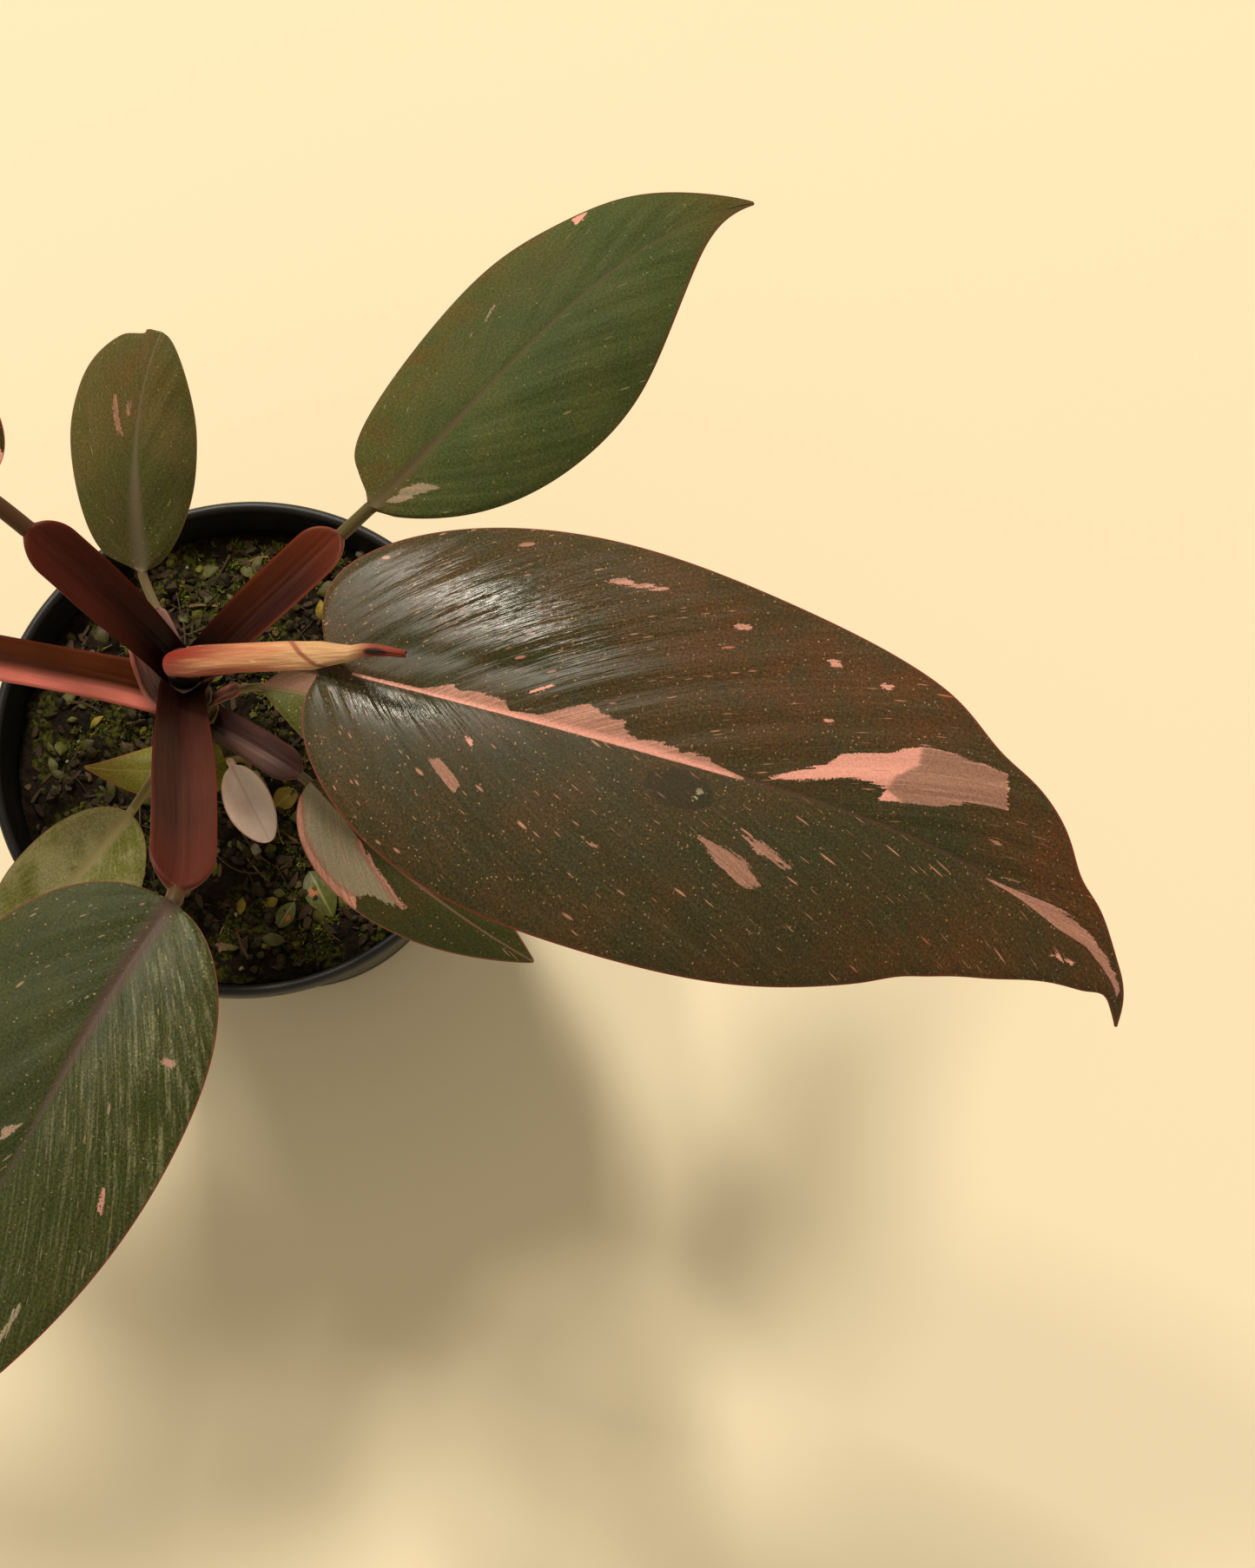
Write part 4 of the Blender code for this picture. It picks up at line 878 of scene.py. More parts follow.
def stalk_faces(leaf, t, w):
    """Upper and lower points of the stalk: a boat-shaped sheath that ends round, then a round neck.

    The path is one Bezier curve from the stem to the blade. Across it the middle surface is a channel
    whose depth grows with a power of the distance, thick along its middle and thin at its edges, with a
    fine groove down its middle. Also gives the place on the stalk and the distance from its edge.
    """
    root, heading = stalk_root(leaf)
    base = np.array(leaf.base)
    span = np.linalg.norm(base - root)
    blade_heading = direction(leaf.turn[0], leaf.rise[0])
    control = [root, root + heading * span * leaf.pull[0], base - blade_heading * span * leaf.pull[1], base]
    path, tangents, length = bezier(control, t[:, 0])
    swing = (leaf.turn[0] - leaf.root_turn + 180) % 360 - 180
    facing = np.radians(leaf.root_turn + swing * t[:, 0])
    side, up = frames(tangents, facing, np.radians(leaf.roll[0]) * t[:, 0])
    end = leaf.sheath_share
    widen = leaf.root_width + (leaf.sheath_width - leaf.root_width) * ease(t / (0.62 * end))
    round_share = leaf.sheath_width * SHEATH_ROUND / length
    closing = np.clip((t - end + round_share) / round_share, 0, 1)
    rounding = np.sqrt(np.clip(1 - closing**2, 0, 1))
    half = np.maximum(widen * rounding, leaf.neck) / 2
    channel = leaf.sheath_depth * (1.25 - 0.45 * ease(t / end)) * rounding
    thick = leaf.neck * (ROOT_THICKNESS + (1 - ROOT_THICKNESS) * ease((t - 0.6) / (end - 0.6 + 1e-6)))
    y = half * w
    middle = channel * np.abs(w) ** 1.6
    rim = settings().leaves.rim_thickness / MM * 1.3
    body = np.maximum(thick * np.sqrt(np.clip(1 - w**2, 0, 1)), rim) / 2
    wing = rounding * ease((half - leaf.neck / 2) / 1.0)
    groove = 0.16 * bell(y / 0.5) + 0.10 * bell((np.abs(y) - 1.5) / 0.4)
    top = middle + body - groove * wing
    centre = path[:, None] + side[:, None] * y[..., None]
    upper = centre + up[:, None] * top[..., None]
    lower = centre + up[:, None] * (middle - body)[..., None]
    place = np.stack([t * length, y, t], -1)
    return upper, lower, place, half * (1 - np.abs(w))


def across(columns):
    """Places across a leaf, closer together at the midrib and at the rim."""
    half = np.linspace(0, 1, columns + 1)
    half = 0.75 * half**1.3 + 0.25 * (1 - (1 - half) ** 1.6)
    return np.concatenate([-half[:0:-1], half])


def outline_distance(x, y, outline):
    """Distance inside an outline, negative outside it: by the nearest point of its edges, and inside where
    a line to the left crosses an odd number of them."""
    corners = np.array(outline, float)
    nearest = np.full(x.shape, 1e9)
    inside = np.zeros(x.shape, bool)
    for (ax, ay), (bx, by) in zip(corners, np.roll(corners, -1, 0)):
        dx, dy = bx - ax, by - ay
        share = np.clip(((x - ax) * dx + (y - ay) * dy) / (dx * dx + dy * dy), 0, 1)
        nearest = np.minimum(nearest, np.hypot(x - ax - share * dx, y - ay - share * dy))
        crosses = (ay > y) != (by > y)
        at = ax + (y - ay) * dx / (dy if dy else 1e-9)
        inside ^= crosses & (x < at)
    return np.where(inside, nearest, -nearest)


def mark_fields(skin, place):
    """For each point: the distance inside the nearest mark, that mark's tone, and both tints."""
    x, y = place[..., 0], place[..., 1]
    field = np.full(x.shape, -30.0)
    tone = np.zeros(x.shape)
    for shade, outline in skin.marks:
        depth = outline_distance(x, y, outline)
        over = np.where(depth > field, 1.0, ease(depth / 1.0 + 0.5))
        tone = tone + (shade - tone) * over
        field = np.maximum(field, depth)
    tints = []
    for spots in (skin.warm, skin.cool_and_shadow):
        tint = np.zeros(x.shape)
        for along, aside, radius, strength in spots:
            near = np.exp(-((x - along) ** 2 + (y - aside) ** 2) / radius**2)
            tint = tint + (1 - tint) * strength * near
        tints.append(tint)
    return np.stack([tone, *tints], -1), field


def make_leaf(leaf, skin):
    """One leaf: a fine grid over stalk and blade, with the place, marks and edge distance on its points."""
    stalk_rows, blade_rows, columns = leaf.grid
    w = across(columns)
    stalk_length = np.linalg.norm(np.array(leaf.base) - stalk_root(leaf)[0]) * 1.05
    closing = leaf.sheath_width * SHEATH_ROUND / stalk_length
    sheath = (leaf.sheath_share - closing) * np.linspace(0, 1, stalk_rows)[:-1]
    end = leaf.sheath_share - closing * np.cos(np.linspace(0, np.pi / 2, 16)) ** 2
    neck = leaf.sheath_share + (1 - leaf.sheath_share) * np.linspace(0, 1, 12)[1:-1]
    t, t_w = np.meshgrid(np.concatenate([sheath, end, neck]), w, indexing="ij")
    stalk = stalk_faces(leaf, t, t_w)
    u = np.linspace(0, 1, blade_rows + 1)
    u = 0.45 * u + 0.275 * (1 - np.cos(np.pi * u))
    u, u_w = np.meshgrid(u, w, indexing="ij")
    blade = blade_faces(leaf, u, u_w)
    rows, wide = len(t) + len(u), len(w)
    grids = [np.concatenate(pair).reshape(rows * wide, -1) for pair in zip(stalk, blade)]
    upper, lower, place, edge = grids
    tones, field = mark_fields(skin, place)
    field[: len(t) * wide] = -30.0
    under = np.repeat([0.0, 1.0], rows * wide)
    faces = closed_faces(rows, wide)
    first = np.concatenate(faces)[:, 0] % (rows * wide) // wide
    values = {"place": np.tile(place, (2, 1)), "tones": np.tile(tones, (2, 1)), "mark": np.tile(field, 2),
              "edge": np.tile(edge[:, 0], 2), "under": under}
    materials = [blade_material(leaf, skin), stalk_material(leaf, skin)]
    slots = (first < len(t) - 1).astype(int)
    piece = new_object(leaf.name + "_grown", np.concatenate([upper, lower]), faces, materials, values, slots)
    ride_and_replace(piece, skin.slot, leaf.name)


# Materials


class Shading:
    """Builds one material's node tree. Values may be numbers, colours or sockets of other nodes."""

    def __init__(self, name):
        self.material = bpy.data.materials.new(name)
        self.material.use_nodes = True
        self.tree = self.material.node_tree
        self.shader = self.tree.nodes["Principled BSDF"]

    def feed(self, socket, value):
        """Link a socket, or set the value of an unlinked one."""
        if isinstance(value, bpy.types.NodeSocket):
            self.tree.links.new(value, socket)
        elif isinstance(value, (tuple, list)) and socket.type == "RGBA":
            socket.default_value = (*value[:3], 1.0)
        else:
            socket.default_value = value

    def node(self, kind, inputs=None, **choices):
        """Add a node, set its choices and feed its inputs by name or number."""
        node = self.tree.nodes.new(kind)
        for key, value in choices.items():
            setattr(node, key, value)
        for key, value in (inputs or {}).items():
            self.feed(node.inputs[key], value)
        return node

    def math(self, operation, *values):
        """Result of a Math node."""
        node = self.node("ShaderNodeMath", operation=operation)
        for socket, value in zip(node.inputs, values):
            self.feed(socket, value)
        return node.outputs[0]

    def rest(self, value):
        """What is left of 1 after a value."""
        return self.math("SUBTRACT", 1.0, value)

    def times(self, first, second):
        """Product of two values."""
        return self.math("MULTIPLY", first, second)

    def plus(self, first, second):
        """Sum of two values."""
        return self.math("ADD", first, second)

    def most(self, first, second):
        """Greater of two values."""
        return self.math("MAXIMUM", first, second)

    def absolute(self, value):
        """Size of a value without its sign."""
        return self.math("ABSOLUTE", value)

    def square(self, value, factor, shift):
        """Square of a value times a factor plus a shift."""
        return self.math("POWER", self.scaled(value, factor, shift), 2.0)

    def mix(self, share, first, second, blend="MIX"):
        """Colour between two colours."""
        node = self.node("ShaderNodeMix", data_type="RGBA", blend_type=blend)
        self.feed(node.inputs[0], share)
        self.feed(node.inputs[6], first)
        self.feed(node.inputs[7], second)
        return node.outputs[2]

    def blend(self, noise, first, second):
        """Colour between two colours by a noise whose middle range is drawn apart."""
        return self.mix(self.span(noise, 0.3, 0.7), first, second)

    def over(self, color, coat, cover, strength):
        """A colour under a coat of another one, where cover is above 0, at a strength."""
        return self.mix(self.scaled(cover, strength), color, coat)

    def attribute(self, name):
        """A point attribute that is one number."""
        return self.node("ShaderNodeAttribute", attribute_name=name).outputs["Fac"]

    def parts(self, name):
        """The three numbers of a point attribute."""
        return self.split(self.node("ShaderNodeAttribute", attribute_name=name).outputs["Vector"])

    def split(self, vector):
        """The three parts of a vector."""
        return self.node("ShaderNodeSeparateXYZ", {0: vector}).outputs[:]

    def join(self, x=0.0, y=0.0, z=0.0):
        """A vector of three numbers."""
        return self.node("ShaderNodeCombineXYZ", {0: x, 1: y, 2: z}).outputs[0]

    def noise(self, vector, scale, detail=2.0, roughness=0.5):
        """Smooth noise from 0 to 1."""
        inputs = {"Vector": vector, "Scale": scale, "Detail": detail, "Roughness": roughness}
        return self.node("ShaderNodeTexNoise", inputs).outputs["Fac"]

    def span(self, value, low, high, start=0.0, end=1.0):
        """A value carried from one range to another and kept inside it, with eased ends."""
        inputs = {"Value": value, "From Min": low, "From Max": high, "To Min": start, "To Max": end}
        return self.node("ShaderNodeMapRange", inputs, interpolation_type="SMOOTHSTEP").outputs[0]

    def fade(self, value, low, high):
        """1 up to the low end of a range, 0 from its high end on."""
        return self.rest(self.span(value, low, high))

    def scaled(self, value, factor, shift=0.0):
        """A value times a factor plus a shift."""
        return self.math("MULTIPLY_ADD", value, factor, shift)

    def stretched(self, x, y, x_factor, y_factor, z=0.0):
        """A vector of two numbers, each times its factor, and a fixed third."""
        return self.join(self.scaled(x, x_factor), self.scaled(y, y_factor), z)

    def oval(self, x, y, place):
        """Squared distance from the middle of an oval (x, y, half length, half width), 1 on its edge."""
        along, aside, length, width = place
        run = self.square(x, 1 / length, -along / length)
        return self.plus(run, self.square(y, 1 / width, -aside / width))

    def enlarged(self, vector, factor):
        """A vector times a factor."""
        return self.node("ShaderNodeVectorMath", {0: vector, 3: factor}, operation="SCALE").outputs[0]

    def object_place(self):
        """Object coordinates in millimetres."""
        return self.enlarged(self.node("ShaderNodeTexCoord").outputs["Object"], 1 / MM)

    def spots(self, vector, share, radius, sharp=9.0):
        """Spots in a share of the cells of a random net, larger where the cell's draw is higher."""
        cell = self.node("ShaderNodeTexVoronoi", {"Vector": vector, "Scale": 1.0})
        draw = self.node("ShaderNodeSeparateColor", {0: cell.outputs["Color"]})
        slope = radius / share
        room = self.scaled(draw.outputs[0], slope, -slope * (1 - share))
        depth = self.math("SUBTRACT", room, cell.outputs["Distance"])
        node = self.node("ShaderNodeMath", operation="MULTIPLY", use_clamp=True)
        self.feed(node.inputs[0], depth)
        self.feed(node.inputs[1], sharp)
        return node.outputs[0], draw.outputs[1]

    def bump(self, height, distance):
        """Normal of a height in shares of a distance in millimetres."""
        inputs = {"Height": height, "Distance": distance * MM, "Strength": 1.0}
        return self.node("ShaderNodeBump", inputs).outputs[0]

    def finish(self, color, roughness, normal, level):
        """Feed the shader; its specular level is a fixed value on its own socket."""
        values = {"Base Color": color, "Roughness": roughness, "Normal": normal, "Specular IOR Level": level}
        for key, value in values.items():
            self.feed(self.shader.inputs[key], value)
        return self.material


def blade_material(leaf, skin):
    """Leaf blade: mottled grainy skin with fine pale specks and flecks drawn out along the side veins, pink
    marks whose edge steps from vein to vein, a coloured midrib, a thin red margin and a plainer underside.
    It is smoother and its grain stands out more inside the leaf's gloss places."""
    look = settings().leaves
    s = Shading(leaf.name.replace("leaf_", "blade ").replace("_", " "))
    x, y, origin = s.parts("place")
    tone, warm, cool_and_shadow = s.parts("tones")
    edge = s.attribute("edge")
    under = s.attribute("under")
    aside = s.absolute(y)
    flat = s.join(x, y)
    strand = s.join(origin, s.scaled(y, 0.16), 0.0)
    fibre = s.join(origin, s.scaled(y, 0.34), 3.0)
    cloud = s.noise(flat, 0.07, 4.0, 0.6)
    grain = s.noise(flat, 1.9, 3.0, 0.8)
    tooth = s.mix(s.span(grain, 0.34, 0.68), (0.22, 0.22, 0.22), (0.86, 0.85, 0.78))
    color = s.mix(s.span(cloud, 0.38, 0.62), skin.blade, skin.mottle)
    warm_share = s.times(warm, s.span(s.noise(flat, 0.16, 4.0, 0.6), 0.3, 0.65, 0.25, 1.0))
    color = s.over(color, WARM_TINT, warm_share, 0.65)
    # Greener places; along the big leaf's crease this tint is a painted shadow of the dry sheath
    color = s.over(color, s.mix(0.55, skin.mottle, COOL_AND_SHADOW_TINT), cool_and_shadow, 0.8)
    # Pale strands along the veins; on a one-sided skin they are a painted sheen, kept to one half and fading
    # along
    strands_and_sheen = s.span(s.noise(strand, 0.9, 4.0, 0.7), 0.45, 0.72)
    if skin.one_sided_sheen:
        strands_and_sheen = s.times(strands_and_sheen, s.span(y, -1.0, 5.0))
        strands_and_sheen = s.times(strands_and_sheen, s.span(x, 0.25 * leaf.length, 0.6 * leaf.length, 1.0, 0.35))
    color = s.over(color, s.mix(0.6, skin.blade, skin.strand), strands_and_sheen, 0.08 + 0.62 * skin.streaks)
    color = s.mix(skin.tooth, color, tooth, "OVERLAY")
    if skin.band[0]:
        width = s.span(x, 0.0, leaf.length * skin.band[1], skin.band[0], 0.4)
        in_band = s.fade(s.math("DIVIDE", aside, width), 0.3, 1.6)
        ends = s.fade(x, leaf.length * skin.band[1] * 0.5, leaf.length * skin.band[1])
        color = s.over(color, skin.midrib, s.times(in_band, ends), 0.75)
    pale = s.mix(0.7, skin.blade, s.mix(0.5, skin.fleck, SALT))
    salt = s.spots(s.stretched(x, y, 1.25, 1.25, 1.0), 2.9 * skin.speck_share, 0.28, 10.0)[0]
    color = s.over(color, pale, salt, 0.8)
    specks, speck_draw = s.spots(s.stretched(origin, y, 1.35, 0.55), skin.speck_share, 0.30)
    color = s.over(color, s.mix(speck_draw, pale, skin.fleck), specks, 0.7)
    flecks, fleck_draw = s.spots(s.stretched(origin, y, 0.60, 0.50, 7.0), skin.fleck_share, 0.34)
    spare = s.spots(s.stretched(origin, y, 0.30, 0.22, 2.0), skin.fleck_share * 0.4, 0.22, 14.0)[0]
    flecks = s.most(flecks, spare)
    fleck_color = s.mix(fleck_draw, skin.fleck, look.mauve[:])
    fleck_color = s.over(fleck_color, WARM_FLECK, warm_share, 0.8)
    color = s.over(color, fleck_color, flecks, 0.85)
    rib_width = s.span(x, 0.0, leaf.length, 0.7 * leaf.neck / FULL_NECK, 0.2)
    on_rib = s.fade(s.math("DIVIDE", aside, rib_width), 0.5, 1.4)
    color = s.over(color, skin.midrib, on_rib, skin.rib_share)
    mark = s.attribute("mark")
    vein = s.math("FLOOR", s.scaled(origin, 1.15))
    step = s.node("ShaderNodeTexWhiteNoise", {"W": vein}, noise_dimensions="1D").outputs["Value"]
    ragged = s.noise(s.stretched(origin, y, 1.3, 0.16, 5.0), 1.0, 3.0, 0.8)
    reach = look.raggedness / MM
    jump = s.plus(s.scaled(step, 1.3 * reach, -0.75 * reach), s.scaled(ragged, 1.6 * reach, -0.8 * reach))
    wobble = s.plus(jump, s.scaled(s.noise(flat, 2.2, 2.0), 0.9, -0.45))
    depth = s.plus(mark, s.times(wobble, s.span(aside, 0.6, 2.2, 0.12, 1.0)))
    marked = s.span(depth, -0.05, 0.12)
    lines = s.noise(s.stretched(origin, y, 1.9, 0.14, 9.0), 1.0, 3.0, 0.7)
    tone = s.plus(tone, s.scaled(lines, 0.5, -0.25))
    wash = s.mix(s.span(tone, 0.05, 0.5), look.pink[:], look.mauve[:])
    wash = s.mix(s.span(tone, 0.6, 1.0), wash, look.pale[:])
    wash = s.mix(s.span(lines, 0.52, 0.8, 0.0, 0.6), wash, s.mix(0.55, wash, skin.blade))
    wash = s.mix(s.span(lines, 0.5, 0.25, 0.0, 0.35), wash, BRIGHT_PINK)
    wash = s.over(wash, skin.blade, s.spots(fibre, 0.25, 0.3)[0], 0.35)
    wash = s.mix(0.42 * skin.tooth, wash, tooth, "OVERLAY")
    color = s.over(color, wash, marked, 0.96)
    roughness = s.scaled(grain, 0.22, skin.roughness - 0.11)
    fine = s.plus(s.scaled(grain, 0.55), s.scaled(s.noise(strand, 1.9, 3.0, 0.6), 0.9))
    fine = s.plus(fine, s.scaled(s.noise(fibre, 1.1, 2.0), 0.6))
    ribs = s.scaled(s.noise(strand, 0.58, 3.0, 0.6), 10.0)
    for place in leaf.gloss_places:
        near = s.math("EXPONENT", s.scaled(s.oval(x, y, place), -1.0))
        roughness = s.math("SUBTRACT", roughness, s.scaled(near, skin.gloss))
        fine = s.plus(s.times(fine, s.scaled(near, -0.25, 1.0)), s.times(ribs, near))
    if skin.wet:
        rough_edge = s.scaled(s.noise(flat, 0.5, 3.0, 0.7), 1.6, -0.8)
        wet = s.fade(s.plus(s.oval(x, y, skin.wet), rough_edge), 0.8, 1.15)
        wet = s.times(wet, s.rest(marked))
        color = s.over(color, WET_SKIN, wet, 0.6)
        roughness = s.math("SUBTRACT", roughness, s.scaled(wet, 0.10))
    rim = s.fade(edge, 0.10, 0.42)
    color = s.over(color, skin.margin, rim, 0.85)
    below = s.mix(s.span(cloud, 0.35, 0.65), skin.under, s.mix(0.4, skin.under, skin.blade))
    below = s.over(below, wash, marked, 0.55)
    below = s.over(below, skin.midrib, on_rib, 0.7)
    color = s.mix(under, color, below)
    roughness = s.plus(roughness, s.scaled(marked, 0.12))
    roughness = s.most(s.plus(roughness, s.scaled(under, 0.2)), 0.12)
    level = 0.26 if leaf.gloss_places else 0.14
    return s.finish(color, roughness, s.bump(fine, 0.045), level)


def stalk_material(leaf, skin):
    """Winged stalk: two wing colours, fine lengthwise fibres, a pale groove and a red rim, with painted
    shade down its channel and toward its root in the crown.
    """
    s = Shading(leaf.name.replace("leaf_", "stalk ").replace("_", " "))
    run, y, share = s.parts("place")
    edge = s.attribute("edge")
    under = s.attribute("under")
    lines = s.noise(s.stretched(run, y, 0.06, 1.3), 1.4, 4.0, 0.65)
    # Two wing colours; the bright pink wing of the left large leaf's stalk is partly painted light on its
    # lit side
    color = s.mix(s.span(y, skin.wing_split - 1.2, skin.wing_split + 1.2), skin.wings[1], skin.wings[0])
    # Painted shade down the middle of the stalk's channel
    hollow_shade = s.fade(s.absolute(y), 0.3, 3.2)
    color = s.over(color, rgb(34, 10, 5), hollow_shade, 0.4)
    color = s.over(color, s.mix(0.5, color, skin.groove), s.span(lines, 0.42, 0.75), 0.32)
    cloud = s.noise(s.stretched(run, y, 0.09, 0.25, 2.0), 1.0, 3.0)
    color = s.mix(s.span(cloud, 0.35, 0.7, 0.0, 0.35), color, s.mix(0.5, color, rgb(20, 8, 6)))
    streak = s.fade(s.absolute(s.scaled(y, 1.0, 0.35)), 0.1, 1.1)
    streak = s.times(streak, s.span(share, 0.3, 0.7))
    color = s.over(color, skin.groove, streak, 0.24)
    color = s.mix(s.span(edge, 0.9, 0.0, 0.0, 0.7), color, skin.wing_rim)
    near_end = s.span(share, leaf.sheath_share - 0.30, leaf.sheath_share - 0.02, 0.0, 0.45)
    color = s.mix(near_end, color, skin.wing_rim)
    # Painted shade: the stalk darkens toward its root, deep in the crown
    dark = s.fade(share, 0.04, skin.crown_shade_reach)
    color = s.over(color, rgb(26, 6, 3), dark, 0.88)
    neck = s.span(share, leaf.sheath_share - 0.01, leaf.sheath_share + 0.015)
    color = s.over(color, s.mix(0.5, skin.blade, skin.under), neck, 0.8)
    color = s.over(color, skin.under, under, 0.4)
    specks = s.spots(s.stretched(run, y, 0.5, 1.0, 4.0), 0.12, 0.25)[0]
    color = s.over(color, skin.groove, specks, 0.2)
    return s.finish(color, s.scaled(lines, 0.2, 0.36), s.bump(lines, 0.08), 0.16)


def dry_material():
    """Dry papery skin: a tan tube, deep red at its root and along its upper edge, with a red seam that
    winds round it and painted shade inside its curled tip."""
    s = Shading("dry peach sheath")
    t, w, _ = s.parts("place")
    inner = s.attribute("under")
    fibre = s.stretched(t, w, 4.0, 5.0)
    lines = s.noise(fibre, 1.0, 4.0, 0.65)
    color = s.blend(lines, rgb(188, 118, 80), rgb(222, 164, 120))
    pale = s.blend(lines, rgb(190, 142, 98), rgb(218, 174, 128))
    color = s.mix(s.span(t, 0.5, 0.75), color, pale)
    bands = s.span(s.noise(s.stretched(t, w, 2.2, 1.6, 4.0), 1.0, 3.0), 0.42, 0.62)
    color = s.mix(s.times(bands, s.span(t, 0.7, 0.3, 0.0, 0.5)), color, rgb(186, 84, 52))
    frayed = s.plus(w, s.scaled(lines, 0.7, -0.35))
    top = s.times(s.span(frayed, -0.34, -0.10), s.span(t, 0.62, 0.12, 0.0, 0.95))
    low = s.times(s.span(frayed, -0.60, -0.85), s.span(t, 0.98, 0.1, 0.0, 0.9))
    root = s.span(s.plus(t, s.scaled(lines, 0.16, -0.08)), 0.30, 0.06)
    red = s.most(s.most(top, low), s.scaled(root, 0.9))
    color = s.mix(red, color, rgb(140, 34, 22))
    seam_at = s.scaled(t, -11.8, 7.95)
    seam = s.fade(s.absolute(s.math("SUBTRACT", w, seam_at)), 0.05, 0.22)
    color = s.over(color, rgb(128, 34, 22), seam, 0.75)
    color = s.mix(s.span(t, 0.84, 0.93), color, rgb(136, 46, 28))
    # Painted shade inside the curled tip
    along = s.square(t, 26.0, -24.2)
    hollow_shade = s.fade(s.plus(along, s.square(w, 2.2, 0.9)), 0.3, 1.0)
    color = s.mix(hollow_shade, color, rgb(40, 8, 6))
    color = s.over(color, rgb(110, 34, 24), inner, 0.65)
    flakes = s.spots(s.stretched(t, w, 16.0, 3.0, 1.0), 0.10, 0.3)[0]
    color = s.over(color, rgb(250, 214, 180), flakes, 0.4)
    normal = s.bump(s.plus(s.scaled(lines, 1.0), s.scaled(s.noise(s.object_place(), 1.4, 3.0), 0.3)), 0.35)
    return s.finish(color, s.scaled(lines, 0.25, 0.40), normal, 0.4)


def young_material():
    """Young skin: grey-mauve with darker veins along it and a pink tip."""
    s = Shading("young mauve sheath")
    t, w, _ = s.parts("place")
    lines = s.noise(s.stretched(t, w, 2.0, 9.0), 1.0, 4.0, 0.6)
    color = s.blend(lines, rgb(128, 88, 84), rgb(160, 116, 108))
    color = s.mix(s.span(t, 0.5, 0.95), color, rgb(214, 132, 118))
    color = s.mix(s.fade(t, 0.0, 0.35), color, rgb(70, 30, 28))
    rim = s.span(s.absolute(w), 0.8, 1.0)
    color = s.over(color, rgb(190, 100, 86), rim, 0.7)
    return s.finish(color, s.scaled(lines, 0.2, 0.36), s.bump(lines, 0.25), 0.45)


def stem_material(name, young, old, joints):
    """Stem skin: fine lengthwise lines, brown scars at the joints, corky spots and painted shade up in the
    crown.
    """
    s = Shading(name)
    place = s.object_place()
    x, y, z = s.split(place)
    lines = s.noise(s.join(x, y, s.scaled(z, 0.12)), 1.5, 4.0, 0.6)
    color = s.blend(lines, young, old)
    for height in joints:
        near = s.fade(s.absolute(s.scaled(z, 1.0, -height)), 0.3, 1.6)
        color = s.over(color, rgb(66, 42, 22), near, 0.6)
    # Painted shade: the stem darkens toward its top, deep in the crown among the stalks
    color = s.mix(s.span(z, 140.0, 178.0, 0.0, 0.92), color, rgb(30, 10, 6))
    corky = s.spots(s.enlarged(place, 0.8), 0.15, 0.3)[0]
    color = s.over(color, rgb(150, 128, 92), corky, 0.6)
    return s.finish(color, s.scaled(lines, 0.25, 0.35), s.bump(lines, 0.4), 0.45)


def pot_material():
    """Moulded black plastic: fine grain, faint scuffs, dried splashes and dust, most near the foot."""
    look = settings().pot
    s = Shading("black nursery plastic")
    place = s.object_place()
    x, y, z = s.split(place)
    grain = s.noise(place, 3.2, 3.0, 0.6)
    scuffs = s.span(s.noise(s.stretched(x, y, 0.35, 0.35, s.scaled(z, 1.6)), 0.5, 5.0, 0.7), 0.56, 0.74)
    splash = s.spots(s.enlarged(place, 0.4), 0.10, 0.32)[0]
    dust = s.times(s.span(s.noise(place, 0.12, 4.0, 0.6), 0.45, 0.7), 0.22)
    color = s.mix(dust, look.plastic[:], look.dust[:])
    color = s.over(color, rgb(96, 98, 98), scuffs, 0.16)
    color = s.over(color, look.dust[:], splash, 0.45)
    low = s.fade(z, 0.0, 9.0)
    color = s.over(color, look.dust[:], low, 0.2)
    roughness = s.plus(s.scaled(grain, 0.2, 0.36), s.scaled(splash, 0.3))
    return s.finish(color, roughness, s.bump(grain, 0.05), 0.5)


def soil_material():
    """Moist potting mix: dark crumbs, brown bark fibre and a film of moss."""
    look = settings().soil
    s = Shading("moist potting mix")
    place = s.object_place()
    crumbs = s.noise(place, 0.9, 6.0, 0.7)
    color = s.mix(s.span(crumbs, 0.38, 0.66), rgb(17, 13, 7), look.earth[:])
    fibre = s.spots(s.enlarged(place, 0.7), 0.3, 0.42)[0]
    color = s.over(color, rgb(66, 46, 22), fibre, 0.55)
    film = s.span(s.noise(place, 0.085, 4.0, 0.6), 0.50, 0.62)
    film = s.times(film, s.span(s.noise(place, 0.8, 3.0), 0.42, 0.62))
    color = s.over(color, s.mix(s.noise(place, 0.5), look.moss[:], rgb(52, 60, 14)), film, 0.7)
    wet = s.span(s.noise(place, 0.35, 3.0), 0.4, 0.65, 0.38, 0.85)
    return s.finish(color, wet, s.bump(crumbs, 0.7), 0.15)


# Litter skins by piece: name, the two colours bits are drawn between, roughness, grain, a rare third colour
LITTER = {
    "bark_bits": ("bark bits", rgb(38, 26, 13), rgb(80, 56, 28), 0.7, 1.6, rgb(112, 88, 52)),
    "twigs": ("twigs and roots", rgb(58, 41, 22), rgb(98, 74, 42), 0.65, 1.0, rgb(140, 114, 72)),
    "crumbs": ("crumbs", rgb(34, 25, 10), rgb(74, 62, 20), 0.8, 1.4, rgb(112, 108, 28)),
    "leaf_scraps": ("leaf scraps", rgb(66, 58, 20), rgb(104, 104, 32), 0.6, 0.7, rgb(150, 132, 36)),
    "perlite": ("perlite", rgb(184, 176, 152), rgb(158, 146, 118), 0.8, 2.0),
}


